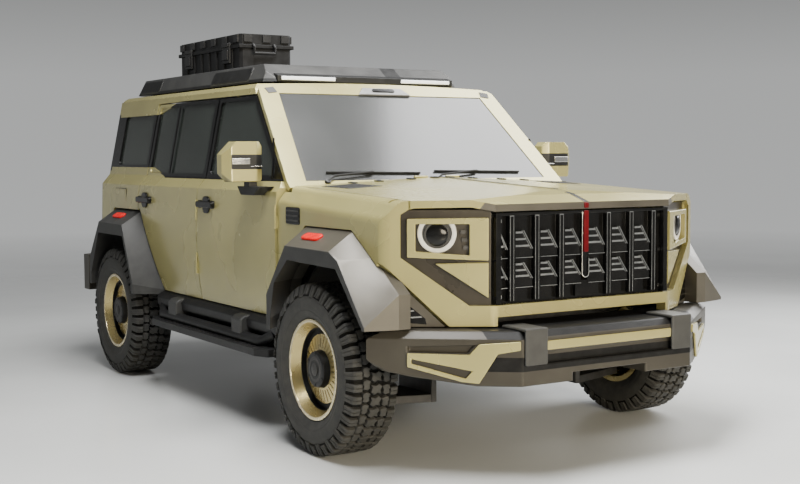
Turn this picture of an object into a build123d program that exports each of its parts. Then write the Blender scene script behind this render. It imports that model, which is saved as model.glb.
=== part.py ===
"""Boxy five-door off-road vehicle with wide flares, a roof tray and a tailgate-mounted spare wheel.

Millimetres. +Z is up, the nose points to -Y and +X is the vehicle's left side.
The origin is on the ground, in the middle of the vehicle's length and width.
"""

import os
from math import atan, copysign, cos, degrees, radians, sin

from build123d import *

os.makedirs("parts", exist_ok=True)

RIGHT, LEFT = -1, 1
SIDES = {"right": RIGHT, "left": LEFT}

# Main stations along the vehicle
WHEELBASE = 2750
FRONT_OVERHANG = 930
TAILGATE_BEHIND_AXLE = 535
SPARE_STANDOFF = 40
TRACK = 1870

# Wheels and tyres
TYRE_R = 410
TYRE_WIDTH = 275
TREAD_WIDTH = 236
BEAD_R = 228
RIM_LIP_R = 241
RIM_WIDTH = 224
RIM_WALL = 13
DISC_INSET = 58
DISC_THICK = 16
HUB_R = 78
HUB_CAP_R = 91
HUB_BACK = 40
SPINDLE_R = 32
RUN_CLEAR = 0.08

# Side of the body, as a section across the vehicle
SILL_Z = 505
DOOR_BOTTOM_Z = 588
ROCKER_X = 926
BULGE_X = 957
BULGE_Z = 900
SHOULDER_X = 946
SHOULDER_Z = 1236
BELT_X = 892
BELT_Z = 1300
CANT_X = 792
CANT_Z = 1795
WALL_THICK = 110
FRAME_THICK = 46
ROOF_CROWN_Z = 1838
ROOF_THICK = 34

# Stations of the doors, behind the front axle or ahead of the rear one
FRONT_DOOR_START = 560
DOOR_SPLIT = 1590
REAR_DOOR_END = 205
DOOR_GAP = 7
DOOR_TOP_Z = 1752
WINDOW_TOP_Z = 1730
WINDOW_FRAME = 44
WINDOW_SILL_Z = 1318
GLASS_THICK = 6
GLASS_INSET = 12
GLASS_CLEAR = 0.3

# Windscreen plane
SCREEN_FOOT_U = 548
SCREEN_FOOT_Z = 1290
SCREEN_HEAD_U = 1052
SCREEN_HEAD_Z = 1768
SCREEN_FOOT_X = 782
SCREEN_HEAD_X = 682
SCREEN_FRAME_THICK = 30

# Front end
HOOD_HALF = 838
HOOD_THICK = 32
HOOD_REAR_U = 505
HOOD_REAR_Z = 1276
HOOD_CROWN = 30
HOOD_DROP = 0.046
NOSE_TOP_Z = 1202
NOSE_U = -742
NOSE_FLAT_X = 520
NOSE_CORNER_X = SHOULDER_X + 1
NOSE_CORNER_U = -474
NOSE_CORNER_R = 80
NOSE_THICK = 62
NOSE_BOTTOM_Z = 660
NOSE_CENTRE_Z = 700
GRILLE_HALF = 515
GRILLE_BOTTOM_Z = 752
GRILLE_TOP_Z = 1164
LAMP_TOP_Z = 1180
LAMP_OUT_X = 876
LAMP_LOW_Z = 968
LAMP_Z = 1074
LAMP_X = 722
LAMP_R = 90

# Bumpers
BUMPER_TOP_Z = 652
BUMPER_LOW_Z = 412
BUMPER_FLAT_X = 500
BUMPER_CORNER_X = 1040
BUMPER_SWEEP = 429
BUMPER_CHAMFER = 34
BUMPER_END_X = 985
BUMPER_END_U = -500
STRAP_X = 432
STRAP_WIDTH = 122
STRAP_PROUD = 14
REAR_BUMPER_TOP_Z = 742
REAR_BUMPER_LOW_Z = 500
REAR_BUMPER_DEPTH = 225
REAR_BUMPER_HALF = 1050

# Four-bolt towing flange in the rear bumper's face
TOW_SPACING_X = 83
TOW_SPACING_Z = 56
TOW_HOLE_R = 5.5
TOW_HOLE_DEPTH = 40
TOW_Z = 600

# Flares
FLARE_OUT_X = 1086
FLARE_ROOT_X = 930
FLARE_TOP_Z = 1078
ARCH_R = 530
ARCH_TOP_Z = 932

# Roof tray and case
TRAY_FRONT_U = 1235
TRAY_REAR_U = 3330
TRAY_HALF = 665
TRAY_LOW_Z = 1842
TRAY_TOP_Z = 1950
TRAY_NOSE = 148
TRAY_FLOOR = 18
CASE_LENGTH = 980
CASE_WIDTH = 360
CASE_HEIGHT = 300
CASE_U = 2050
CASE_X = -450
CASE_RIBS = 7

# Joints
KINGPIN_INSET = 135
STEER_PIN_X = TRACK / 2 - KINGPIN_INSET
KNUCKLE_R = 6
HINGE_LENGTH = 60
HINGE_POCKET = 3
DOOR_HINGES_Z = (800, 1110)
TAILGATE_HINGES_Z = (880, 1235)
HOOD_HINGE_X = 60
HOOD_PIN_R = 8

FRAME_RAIL_X = 400
FLOOR_Z = 600

REAR_OVERHANG = TAILGATE_BEHIND_AXLE + SPARE_STANDOFF + TYRE_WIDTH
LENGTH = FRONT_OVERHANG + WHEELBASE + REAR_OVERHANG
FRONT_AXLE = FRONT_OVERHANG - LENGTH / 2
REAR_AXLE = FRONT_AXLE + WHEELBASE
TAIL = REAR_AXLE + TAILGATE_BEHIND_AXLE


def behind(offset):
    """The station that lies this far behind the front axle."""
    return FRONT_AXLE + offset


def side_prism(points, x_from, x_to, mode=Mode.ADD, radius=0):
    """Extrudes an outline drawn in the side view, as (y, z) points, from x_from to x_to."""
    with BuildSketch(Plane.YZ.offset(x_from)) as outline:
        with BuildLine():
            Polyline(*points, close=True)
        make_face()
        if radius:
            fillet(outline.vertices(), radius)
    extrude(outline.sketch, amount=x_to - x_from, mode=mode)


def front_prism(points, y_from, y_to, mode=Mode.ADD, radius=0):
    """Extrudes an outline drawn in the front view, as (x, z) points, from y_from back to y_to."""
    with BuildSketch(Plane.XZ.offset(-y_to)) as outline:
        with BuildLine():
            Polyline(*points, close=True)
        make_face()
        if radius:
            fillet(outline.vertices(), radius)
    extrude(outline.sketch, amount=y_to - y_from, mode=mode)


def plan_prism(points, z_from, z_to, mode=Mode.ADD, radius=0):
    """Extrudes an outline drawn in the plan view, as (x, y) points, from z_from up to z_to."""
    with BuildSketch(Plane.XY.offset(z_from)) as outline:
        with BuildLine():
            Polyline(*points, close=True)
        make_face()
        if radius:
            fillet(outline.vertices(), radius)
    extrude(outline.sketch, amount=z_to - z_from, mode=mode)


def block(x, y, z, mode=Mode.ADD):
    """A box given by its (low, high) range along each axis."""
    with Locations(((x[0] + x[1]) / 2, (y[0] + y[1]) / 2, (z[0] + z[1]) / 2)):
        Box(x[1] - x[0], y[1] - y[0], z[1] - z[0], mode=mode)


def rod(start, end, radius, mode=Mode.ADD):
    """A round bar from start to end."""
    path = Vector(*end) - Vector(*start)
    with BuildSketch(Plane(origin=start, z_dir=path)) as disc:
        Circle(radius)
    extrude(disc.sketch, amount=path.length, mode=mode)


def cross_rod(x_from, x_to, y, z, radius, mode=Mode.ADD):
    """A round bar across the vehicle."""
    with BuildSketch(Plane.YZ.offset(x_from)) as disc:
        with Locations((y, z)):
            Circle(radius)
    extrude(disc.sketch, amount=x_to - x_from, mode=mode)


def hinge_leaf(x, y, z_low, mode=Mode.ADD, grow=0):
    """One upright half of a hinge, round about the hinge line."""
    with BuildSketch(Plane.XY.offset(z_low - grow)) as disc:
        with Locations((x, y)):
            Circle(KNUCKLE_R + grow)
    extrude(disc.sketch, amount=HINGE_LENGTH + grow, mode=mode)


def hang_on(x, y, heights):
    """Gives a door its hinge halves, with pockets for the halves on the body below them."""
    for z in heights:
        hinge_leaf(x, y, z)
        hinge_leaf(x, y, z - HINGE_LENGTH, Mode.SUBTRACT, HINGE_POCKET)


def write(builder, name):
    """Labels a finished piece and writes its STEP file."""
    builder.part.label = name
    export_step(builder.part, f"parts/{name}.step")


# Side wall: one section across the vehicle serves the doors, the body sides and their glass


def upper_x(z, inset=0):
    """Outer face of the side wall above the belt, inset by a horizontal distance."""
    share = (z - BELT_Z) / (CANT_Z - BELT_Z)
    return BELT_X + (CANT_X - BELT_X) * share - inset


def side_wall(side, y_from, y_to):
    """The whole side wall between two stations: bulged below the belt, leaning in above it."""
    lining = BULGE_X - WALL_THICK
    with BuildSketch(Plane.XZ.offset(-y_to)) as section:
        with BuildLine():
            Line((side * ROCKER_X, SILL_Z), (side * ROCKER_X, DOOR_BOTTOM_Z))
            ThreePointArc(
                (side * ROCKER_X, DOOR_BOTTOM_Z),
                (side * BULGE_X, BULGE_Z),
                (side * SHOULDER_X, SHOULDER_Z),
            )
            Polyline(
                (side * SHOULDER_X, SHOULDER_Z),
                (side * BELT_X, BELT_Z),
                (side * CANT_X, CANT_Z),
                (side * (CANT_X - FRAME_THICK), CANT_Z),
                (side * (BELT_X - FRAME_THICK), BELT_Z),
                (side * lining, SHOULDER_Z),
                (side * lining, SILL_Z),
                (side * ROCKER_X, SILL_Z),
            )
        make_face()
    extrude(section.sketch, amount=y_to - y_from)


def glass_wall(side, y_from, y_to):
    """A sheet of side glass set into the wall's leaning upper part."""
    low_z, high_z = SHOULDER_Z, CANT_Z
    with BuildSketch(Plane.XZ.offset(-y_to)) as section:
        with BuildLine():
            Polyline(
                (side * upper_x(low_z, GLASS_INSET), low_z),
                (side * upper_x(high_z, GLASS_INSET), high_z),
                (side * upper_x(high_z, GLASS_INSET + GLASS_THICK), high_z),
                (side * upper_x(low_z, GLASS_INSET + GLASS_THICK), low_z),
                close=True,
            )
        make_face()
    extrude(section.sketch, amount=y_to - y_from)


SCREEN_RAKE = (SCREEN_HEAD_U - SCREEN_FOOT_U) / (SCREEN_HEAD_Z - SCREEN_FOOT_Z)
SCREEN_DEPTH = SCREEN_FRAME_THICK * (1 + SCREEN_RAKE**-2) ** 0.5 * SCREEN_RAKE


def screen_u(z):
    """Station of the windscreen's outer face at a height, behind the front axle."""
    return SCREEN_FOOT_U + SCREEN_RAKE * (z - SCREEN_FOOT_Z)


def pillar_y(z, gap):
    """Rear edge of the windscreen frame at a height, with a gap behind it."""
    return behind(screen_u(z) + SCREEN_DEPTH + gap)


FRONT_DOOR_Y = behind(FRONT_DOOR_START)
SPLIT_Y = behind(DOOR_SPLIT)
REAR_DOOR_Y = REAR_AXLE - REAR_DOOR_END
DOOR_KINK_Z = 1256
HALF_GAP = DOOR_GAP / 2
TRAILING_BEVEL = 0.11


def front_door_outline(grow=0):
    """Front door in the side view; grow gives the opening around it."""
    foot = DOOR_KINK_Z + grow
    return [
        (FRONT_DOOR_Y - grow, DOOR_BOTTOM_Z - grow),
        (FRONT_DOOR_Y - grow, foot),
        (pillar_y(BELT_Z, DOOR_GAP - grow), BELT_Z + grow),
        (pillar_y(DOOR_TOP_Z, DOOR_GAP - grow), DOOR_TOP_Z + grow),
        (SPLIT_Y - HALF_GAP + grow, DOOR_TOP_Z + grow),
        (SPLIT_Y - HALF_GAP + grow, DOOR_BOTTOM_Z - grow),
    ]


def rear_door_outline(grow=0):
    """Rear door in the side view, before the rear flare is cut out of it."""
    return [
        (SPLIT_Y + HALF_GAP - grow, DOOR_BOTTOM_Z - grow),
        (SPLIT_Y + HALF_GAP - grow, DOOR_TOP_Z + grow),
        (REAR_DOOR_Y + grow, DOOR_TOP_Z + grow),
        (REAR_DOOR_Y + grow, DOOR_BOTTOM_Z - grow),
    ]


def trim_trailing_edge(side, y_end):
    """Bevels a door's rear edge inwards so that it swings clear of what stands behind it."""
    plan_prism(
        [
            (side * BULGE_X, y_end + 1),
            (side * (BULGE_X - 400), y_end + 1),
            (side * (BULGE_X - 400), y_end - 400 * TRAILING_BEVEL),
        ],
        DOOR_BOTTOM_Z - 50,
        CANT_Z + 50,
        Mode.SUBTRACT,
    )


def front_window(inset=0):
    """Opening for the front door's glass."""
    edge = WINDOW_FRAME + inset
    return [
        (pillar_y(WINDOW_SILL_Z, edge), WINDOW_SILL_Z + inset),
        (pillar_y(WINDOW_TOP_Z, edge), WINDOW_TOP_Z - inset),
        (SPLIT_Y - edge, WINDOW_TOP_Z - inset),
        (SPLIT_Y - edge, WINDOW_SILL_Z + inset),
    ]


def rear_window(inset=0):
    """Opening for the rear door's glass."""
    edge = WINDOW_FRAME + inset
    return [
        (SPLIT_Y + edge, WINDOW_SILL_Z + inset),
        (SPLIT_Y + edge, WINDOW_TOP_Z - inset),
        (REAR_DOOR_Y - edge, WINDOW_TOP_Z - inset),
        (REAR_DOOR_Y - edge, WINDOW_SILL_Z + inset),
    ]


QUARTER_END = 372
QUARTER_LOW_Z = 1366
QUARTER_TOP_Z = 1690


def quarter_window(inset=0):
    """Opening for the fixed glass behind the rear door."""
    front = REAR_DOOR_Y + WINDOW_FRAME + inset
    back = REAR_AXLE + QUARTER_END - inset
    return [
        (front, QUARTER_LOW_Z + inset),
        (front, QUARTER_TOP_Z - inset),
        (back, QUARTER_TOP_Z - inset),
        (back, QUARTER_LOW_Z + inset),
    ]


# Flares: an angular outline around each wheel, drawn at the body and again at the outer lip

FLARE_FOOT_Z = 560
FLARE_INNER_X = FLARE_ROOT_X - 60
FRONT_FOOT_Z = BUMPER_TOP_Z + 6
AXLES = {"front": FRONT_AXLE, "rear": REAR_AXLE}
FLARE_ROOTS = {
    # outline at the body from the front foot over the top, as distances behind the axle and heights
    "front": (
        (-590, FRONT_FOOT_Z),
        (-590, 812),
        (-380, 962),
        (-205, FLARE_TOP_Z),
        (255, FLARE_TOP_Z),
        (540, 730),
        (540, FLARE_FOOT_Z),
    ),
    "rear": (
        (-560, FLARE_FOOT_Z),
        (-560, 590),
        (-230, FLARE_TOP_Z),
        (255, FLARE_TOP_Z),
        (488, 730),
        (488, FLARE_FOOT_Z),
    ),
}
FLARE_LIPS = {
    # the same points at the lip
    "front": (
        (-552, FRONT_FOOT_Z),
        (-552, 672),
        (-318, 948),
        (-238, 985),
        (200, 988),
        (408, 735),
        (408, FLARE_FOOT_Z),
    ),
    "rear": ((-430, FLARE_FOOT_Z), (-430, 620), (-245, 985), (200, 988), (405, 735), (405, FLARE_FOOT_Z)),
}
ARCH_ROOTS = {
    # wheel opening at the body
    "front": ((-500, 640), (-300, ARCH_TOP_Z), (285, ARCH_TOP_Z), (430, 800), (492, 640)),
    "rear": ((-470, 640), (-300, ARCH_TOP_Z), (285, ARCH_TOP_Z), (446, 640)),
}
ARCH_LIPS = {
    # wheel opening at the lip
    "front": ((-528, 668), (-300, 912), (175, 921), (320, 800), (366, 620)),
    "rear": ((-392, 640), (-250, 915), (215, 915), (372, 640)),
}


def flare_outline(which, grow=0, drop=0):
    """Outline of a flare at the body in the side view, grown by a gap and open below by a drop."""
    axle = AXLES[which]
    points = [(axle + y + copysign(grow, y), z + grow) for y, z in FLARE_ROOTS[which]]
    points[0] = (points[0][0], FLARE_ROOTS[which][0][1] - drop)
    points[-1] = (points[-1][0], FLARE_ROOTS[which][-1][1] - drop)
    return points


def arch_outline(which, share):
    """Wheel opening in the side view, open below; share runs from the body, 0, to the lip, 1."""
    axle = AXLES[which]
    pairs = zip(ARCH_ROOTS[which], ARCH_LIPS[which])
    points = [(axle + a + (c - a) * share, b + (d - b) * share) for (a, b), (c, d) in pairs]
    return [(points[0][0], SILL_Z - 300), *points, (points[-1][0], SILL_Z - 300)]


def between_planes(near_x, near, far_x, far, mode=Mode.ADD):
    """Joins two side view outlines of as many points with straight lines."""
    outlines = []
    for x, points in ((near_x, near), (far_x, far)):
        with BuildSketch(Plane.YZ.offset(x)) as outline:
            with BuildLine():
                Polyline(*points, close=True)
            make_face()
        outlines.append(outline.sketch)
    loft(outlines, ruled=True, mode=mode)


def cut_flare(which, side, grow, x_from=500):
    """Removes a flare's outline, grown by a gap, from the wall being built."""
    side_prism(flare_outline(which, grow, drop=400), side * x_from, side * 1200, Mode.SUBTRACT)


# Doors

for side_name, side in SIDES.items():
    with BuildPart() as front_door:
        side_wall(side, behind(400), SPLIT_Y)
        side_prism(front_door_outline(), side * 500, side * 1200, Mode.INTERSECT)
        side_prism(front_window(), side * 500, side * 1200, Mode.SUBTRACT, radius=25)
        cut_flare("front", side, DOOR_GAP)
        trim_trailing_edge(side, SPLIT_Y - HALF_GAP)
        hang_on(side * BULGE_X, FRONT_DOOR_Y, DOOR_HINGES_Z)
    write(front_door, f"door_front_{side_name}")

    with BuildPart() as rear_door:
        side_wall(side, SPLIT_Y, REAR_AXLE)
        side_prism(rear_door_outline(), side * 500, side * 1200, Mode.INTERSECT)
        side_prism(rear_window(), side * 500, side * 1200, Mode.SUBTRACT, radius=25)
        cut_flare("rear", side, DOOR_GAP)
        trim_trailing_edge(side, REAR_DOOR_Y)
        hang_on(side * BULGE_X, SPLIT_Y + HALF_GAP, DOOR_HINGES_Z)
    write(rear_door, f"door_rear_{side_name}")

    with BuildPart() as front_glass:
        glass_wall(side, behind(400), SPLIT_Y)
        side_prism(front_window(GLASS_CLEAR), side * 500, side * 1200, Mode.INTERSECT, radius=25)
    write(front_glass, f"glass_front_{side_name}")

    with BuildPart() as rear_glass:
        glass_wall(side, SPLIT_Y, REAR_AXLE)
        side_prism(rear_window(GLASS_CLEAR), side * 500, side * 1200, Mode.INTERSECT, radius=25)
    write(rear_glass, f"glass_rear_{side_name}")


# Body sides: sill, cant rail, rear quarter and the post behind the doors' meeting edges

POST_WIDTH = 130
POST_DEPTH = 52
POST_CLEAR = 6

for side_name, side in SIDES.items():
    lining = BULGE_X - WALL_THICK - POST_CLEAR
    frame_x = BELT_X - FRAME_THICK - POST_CLEAR
    head_x = CANT_X - FRAME_THICK - POST_CLEAR
    with BuildPart() as body_side:
        side_wall(side, FRONT_DOOR_Y - DOOR_GAP, TAIL - 40)
        side_prism(
            [
                (FRONT_DOOR_Y - DOOR_GAP, SILL_Z - 10),
                (FRONT_DOOR_Y - DOOR_GAP, SHOULDER_Z),
                (pillar_y(BELT_Z, DOOR_GAP), BELT_Z),
                (pillar_y(DOOR_TOP_Z, DOOR_GAP), DOOR_TOP_Z),
                (pillar_y(CANT_Z, GLASS_CLEAR), CANT_Z),
                (TAIL - 40, CANT_Z),
                (TAIL - 40, SILL_Z - 10),
            ],
            side * 500,
            side * 1200,
            Mode.INTERSECT,
        )
        side_prism(front_door_outline(DOOR_GAP), side * 500, side * 1200, Mode.SUBTRACT)
        side_prism(rear_door_outline(DOOR_GAP), side * 500, side * 1200, Mode.SUBTRACT)
        side_prism(quarter_window(), side * 500, side * 1200, Mode.SUBTRACT, radius=25)
        front_prism(
            [
                (side * (ROCKER_X - 30), SILL_Z),
                (side * (ROCKER_X - 30), DOOR_BOTTOM_Z - DOOR_GAP),
                (side * lining, DOOR_BOTTOM_Z - DOOR_GAP),
                (side * lining, SHOULDER_Z),
                (side * frame_x, BELT_Z),
                (side * (head_x + 8), DOOR_TOP_Z + DOOR_GAP),
                (side * (head_x + 20), DOOR_TOP_Z + DOOR_GAP),
                (side * (head_x + 20), CANT_Z),
                (side * (head_x - POST_DEPTH), CANT_Z),
                (side * (frame_x - POST_DEPTH), BELT_Z),
                (side * (lining - POST_DEPTH), SHOULDER_Z),
                (side * (lining - POST_DEPTH), SILL_Z),
            ],
            SPLIT_Y - POST_WIDTH / 2,
            SPLIT_Y + POST_WIDTH / 2,
        )
        for z in DOOR_HINGES_Z:
            low_z = z - HINGE_LENGTH - GLASS_CLEAR
            hinge_leaf(side * BULGE_X, SPLIT_Y + HALF_GAP, low_z)
            block(
                sorted((side * (lining - POST_DEPTH / 2), side * (BULGE_X - 1))),
                (SPLIT_Y - 1.5, SPLIT_Y + 1.5),
                (low_z, low_z + HINGE_LENGTH),
            )
        cut_flare("rear", side, GLASS_CLEAR)
        cut_flare("front", side, GLASS_CLEAR)
    write(body_side, f"body_side_{side_name}")

with BuildPart() as quarter_glass:
    for side in SIDES.values():
        glass_wall(side, REAR_DOOR_Y, TAIL)
    with BuildSketch(Plane.YZ.offset(-1200)) as pane:
        with BuildLine():
            Polyline(*quarter_window(GLASS_CLEAR), close=True)
        make_face()
        fillet(pane.vertices(), 25)
    extrude(amount=2400, mode=Mode.INTERSECT)
write(quarter_glass, "quarter_glass")


# Roof, windscreen frame and windscreen

ROOF_EDGE_Z = CANT_Z + 1

with BuildPart() as roof:
    shoulder_x, shoulder_z = CANT_X - 26, CANT_Z + 26
    with BuildSketch(Plane.XZ.offset(-(TAIL - 39))):
        with BuildLine():
            Polyline((-shoulder_x, shoulder_z), (-CANT_X, CANT_Z), (CANT_X, CANT_Z), (shoulder_x, shoulder_z))
            ThreePointArc((shoulder_x, shoulder_z), (0, ROOF_CROWN_Z), (-shoulder_x, shoulder_z))
        make_face()
    extrude(amount=TAIL - 39 - behind(screen_u(CANT_Z)) - SCREEN_DEPTH + 60)
    side_prism(
        [
            (pillar_y(CANT_Z, GLASS_CLEAR), CANT_Z),
            (pillar_y(ROOF_CROWN_Z + 20, GLASS_CLEAR), ROOF_CROWN_Z + 20),
            (TAIL - 210, ROOF_CROWN_Z + 20),
            (TAIL - 39, CANT_Z + 14),
            (TAIL - 39, CANT_Z),
        ],
        -1000,
        1000,
        Mode.INTERSECT,
    )
    inner_x = CANT_X - FRAME_THICK
    with BuildSketch(Plane.XZ.offset(-(TAIL - 39))):
        with BuildLine():
            Line((-inner_x, CANT_Z), (inner_x, CANT_Z))
            ThreePointArc((inner_x, CANT_Z), (0, ROOF_CROWN_Z - ROOF_THICK), (-inner_x, CANT_Z))
        make_face()
    extrude(amount=TAIL, mode=Mode.SUBTRACT)
write(roof, "roof_panel")

SCREEN_ANGLE = Vector(0, SCREEN_HEAD_U - SCREEN_FOOT_U, SCREEN_HEAD_Z - SCREEN_FOOT_Z)
SCREEN_LENGTH = SCREEN_ANGLE.length
SCREEN_PLANE = Plane(
    origin=(0, behind(SCREEN_FOOT_U), SCREEN_FOOT_Z),
    x_dir=(1, 0, 0),
    z_dir=Vector(1, 0, 0).cross(SCREEN_ANGLE),
)
HEADER = 62
COWL_DROP = 44


def screen_points(inset):
    """The windscreen opening on its own plane."""
    return [
        (-SCREEN_FOOT_X + inset, inset),
        (SCREEN_FOOT_X - inset, inset),
        (SCREEN_HEAD_X - inset, SCREEN_LENGTH - inset),
        (-SCREEN_HEAD_X + inset, SCREEN_LENGTH - inset),
    ]


with BuildPart() as screen_frame:
    with BuildSketch(SCREEN_PLANE) as ring:
        with BuildLine():
            Polyline(
                (-BELT_X, -COWL_DROP),
                (BELT_X, -COWL_DROP),
                (BELT_X, 0),
                (CANT_X, SCREEN_LENGTH + 38),
                (CANT_X - 30, SCREEN_LENGTH + HEADER),
                (-CANT_X + 30, SCREEN_LENGTH + HEADER),
                (-CANT_X, SCREEN_LENGTH + 38),
                (-BELT_X, 0),
                close=True,
            )
        make_face()
        with BuildLine():
            Polyline(*screen_points(0), close=True)
        make_face(mode=Mode.SUBTRACT)
    extrude(amount=-SCREEN_FRAME_THICK)
    hood_line = (behind(HOOD_REAR_U), HOOD_REAR_Z + HOOD_CROWN - 4)
    for side in SIDES.values():
        near, far = side * (HOOD_HINGE_X + 40 + GLASS_CLEAR), side * (HOOD_HINGE_X + 85)
        cross_rod(near, far, *hood_line, HOOD_PIN_R)
        side_prism(
            [
                (hood_line[0] - HOOD_PIN_R, hood_line[1]),
                (hood_line[0] + HOOD_PIN_R, hood_line[1]),
                (behind(screen_u(1272)) + 8, 1272),
                (behind(screen_u(1262)) + 4, 1262),
                (hood_line[0] + 2, 1266),
            ],
            near,
            far,
        )
write(screen_frame, "windscreen_frame")

with BuildPart() as screen:
    with BuildSketch(SCREEN_PLANE.offset(-4)):
        with BuildLine():
            Polyline(*screen_points(GLASS_CLEAR), close=True)
        make_face()
    extrude(amount=-GLASS_THICK)
write(screen, "windscreen")


# Front end: hood, fenders and the painted nose frame share one sloping section

FRONT_END_Y = behind(NOSE_U) - 60


def front_section(inset, half_width, z_low):
    """Section of the front end at the hood's rear edge, inset from its skin."""
    top = HOOD_REAR_Z - inset
    return [
        (-half_width, z_low),
        (-half_width, top - 95),
        (-half_width + 70, top - 8),
        (0, top + HOOD_CROWN),
        (half_width - 70, top - 8),
        (half_width, top - 95),
        (half_width, z_low),
    ]


def front_volume(inset, half_width, z_low, mode=Mode.ADD):
    """The front end as one solid, falling from the hood's rear edge to the nose."""
    start = behind(FRONT_DOOR_START) - DOOR_GAP
    with BuildSketch(Plane.XZ.offset(-start)) as section:
        with BuildLine():
            Polyline(*front_section(inset, half_width, z_low), close=True)
        make_face()
        fillet(section.vertices().group_by(Axis.Y)[1:], 60)
    extrude(section.sketch, amount=start - FRONT_END_Y, dir=(0, -1, -HOOD_DROP), mode=mode)


def nose_plan(inset):
    """Plan outline of the front end: flat across the grille, swept back at the corners."""
    front = behind(NOSE_U) + inset
    half = [
        (NOSE_FLAT_X, front),
        (NOSE_CORNER_X - inset, behind(NOSE_CORNER_U) + inset / 2),
        (NOSE_CORNER_X - inset, behind(FRONT_DOOR_START)),
    ]
    return half + [(-x, y) for x, y in reversed(half)]


FENDER_FRONT_U = -430
HOOD_LINE_Y = behind(HOOD_REAR_U)
HOOD_LINE_Z = HOOD_REAR_Z + HOOD_CROWN - 4

HOOD_ROLL = ((-430, 1275), (-640, 1236), (NOSE_U, NOSE_TOP_Z))


def hood_roll(drop):
    """Side view of what lies under the hood's rolled nose, from stations behind the axle and heights."""
    return [
        (FRONT_END_Y, 400),
        (FRONT_END_Y, NOSE_TOP_Z - drop - 20),
        *((behind(u), z - drop) for u, z in reversed(HOOD_ROLL)),
        (behind(700), 1500 - drop),
        (behind(700), 400),
    ]


with BuildPart() as hood_space:
    front_volume(HOOD_THICK, SHOULDER_X - HOOD_THICK, 800)
    side_prism(hood_roll(HOOD_THICK), -1200, 1200, Mode.INTERSECT)

with BuildPart() as hood:
    front_volume(0, SHOULDER_X, 900)
    side_prism(hood_roll(0), -1200, 1200, Mode.INTERSECT)
    add(hood_space.part, mode=Mode.SUBTRACT)
    plan_prism(nose_plan(0), 800, 1500, Mode.INTERSECT)
    block((-HOOD_HALF, HOOD_HALF), (FRONT_END_Y, behind(HOOD_REAR_U)), (1080, 1500), Mode.INTERSECT)
    for side in SIDES.values():
        cross_rod(side * HOOD_HINGE_X, side * (HOOD_HINGE_X + 40), HOOD_LINE_Y, HOOD_LINE_Z, HOOD_PIN_R)
        block(
            sorted((side * (HOOD_HINGE_X + 40), side * (HOOD_HINGE_X + 90))),
            (HOOD_LINE_Y - HOOD_PIN_R - HINGE_POCKET, HOOD_LINE_Y + 20),
            (HOOD_LINE_Z - 60, HOOD_LINE_Z + 20),
            Mode.SUBTRACT,
        )
write(hood, "hood")

with BuildPart() as fenders:
    front_volume(0, SHOULDER_X, 560)
    front_volume(HOOD_THICK, SHOULDER_X - 70, 400, Mode.SUBTRACT)
    block(
        (-HOOD_HALF - DOOR_GAP, HOOD_HALF + DOOR_GAP),
        (FRONT_END_Y, behind(FRONT_DOOR_START)),
        (400, 1500),
        Mode.SUBTRACT,
    )
    block(
        (-1200, 1200),
        (behind(FENDER_FRONT_U), behind(FRONT_DOOR_START) - DOOR_GAP),
        (400, 1500),
        Mode.INTERSECT,
    )
    side_prism(
        [
            (behind(screen_u(1236)) - DOOR_GAP, 1236),
            (behind(screen_u(1400)) - DOOR_GAP, 1400),
            (behind(screen_u(1400) + 120), 1400),
            (behind(screen_u(1400) + 120), 1236),
        ],
        -1200,
        1200,
        Mode.SUBTRACT,
    )
    for side in SIDES.values():
        cut_flare("front", side, GLASS_CLEAR)
        for z in DOOR_HINGES_Z:
            low_z = z - HINGE_LENGTH - GLASS_CLEAR
            hinge_leaf(side * BULGE_X, FRONT_DOOR_Y, low_z)
            block(
                sorted((side * (SHOULDER_X - 12), side * (BULGE_X - 1))),
                (FRONT_DOOR_Y - DOOR_GAP - 4, FRONT_DOOR_Y - 2),
                (low_z, low_z + HINGE_LENGTH),
            )
write(fenders, "front_fenders")



CHEEK_X = (693, 953)
CHEEK_Z = (NOSE_BOTTOM_Z, 951)


def nose_opening(inset):
    """Opening in the painted nose frame for grille and lamps, in the front view."""
    half = [
        (617, GRILLE_BOTTOM_Z + inset),
        (LAMP_OUT_X - inset, LAMP_LOW_Z + inset / 2),
        (LAMP_OUT_X - inset, LAMP_TOP_Z - 22),
        (HOOD_HALF - inset, LAMP_TOP_Z + 5 - 5 * inset),
    ]
    return half + [(-x, z) for x, z in reversed(half)]


with BuildPart() as fascia:
    front_volume(0, SHOULDER_X, 560)
    plan_prism(nose_plan(0), 400, 1500, Mode.INTERSECT, radius=NOSE_CORNER_R)
    plan_prism(nose_plan(NOSE_THICK), 400, 1500, Mode.SUBTRACT)
    block((-1200, 1200), (FRONT_END_Y, behind(FENDER_FRONT_U)), (NOSE_BOTTOM_Z, 1500), Mode.INTERSECT)
    block(
        (-HOOD_HALF - DOOR_GAP, HOOD_HALF + DOOR_GAP),
        (FRONT_END_Y, behind(FENDER_FRONT_U)),
        (LAMP_TOP_Z, 1500),
        Mode.SUBTRACT,
    )
    front_prism(nose_opening(0), FRONT_END_Y, behind(FENDER_FRONT_U) - 60, Mode.SUBTRACT)
    block(
        (-NOSE_FLAT_X + 14, NOSE_FLAT_X - 14),
        (FRONT_END_Y, behind(NOSE_U) + 200),
        (400, NOSE_CENTRE_Z),
        Mode.SUBTRACT,
    )
    for side in SIDES.values():
        cut_flare("front", side, GLASS_CLEAR, FLARE_INNER_X - GLASS_CLEAR)
        front_prism(
            [
                (side * CHEEK_X[0], 400),
                (side * CHEEK_X[0], CHEEK_Z[0]),
                (side * CHEEK_X[1], CHEEK_Z[1]),
                (side * 1200, CHEEK_Z[1]),
                (side * 1200, 400),
            ],
            FRONT_END_Y,
            behind(FENDER_FRONT_U) + 20,
            Mode.SUBTRACT,
        )
write(fascia, "front_fascia")

RECESS = 34
PANEL_THICK = 24

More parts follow.
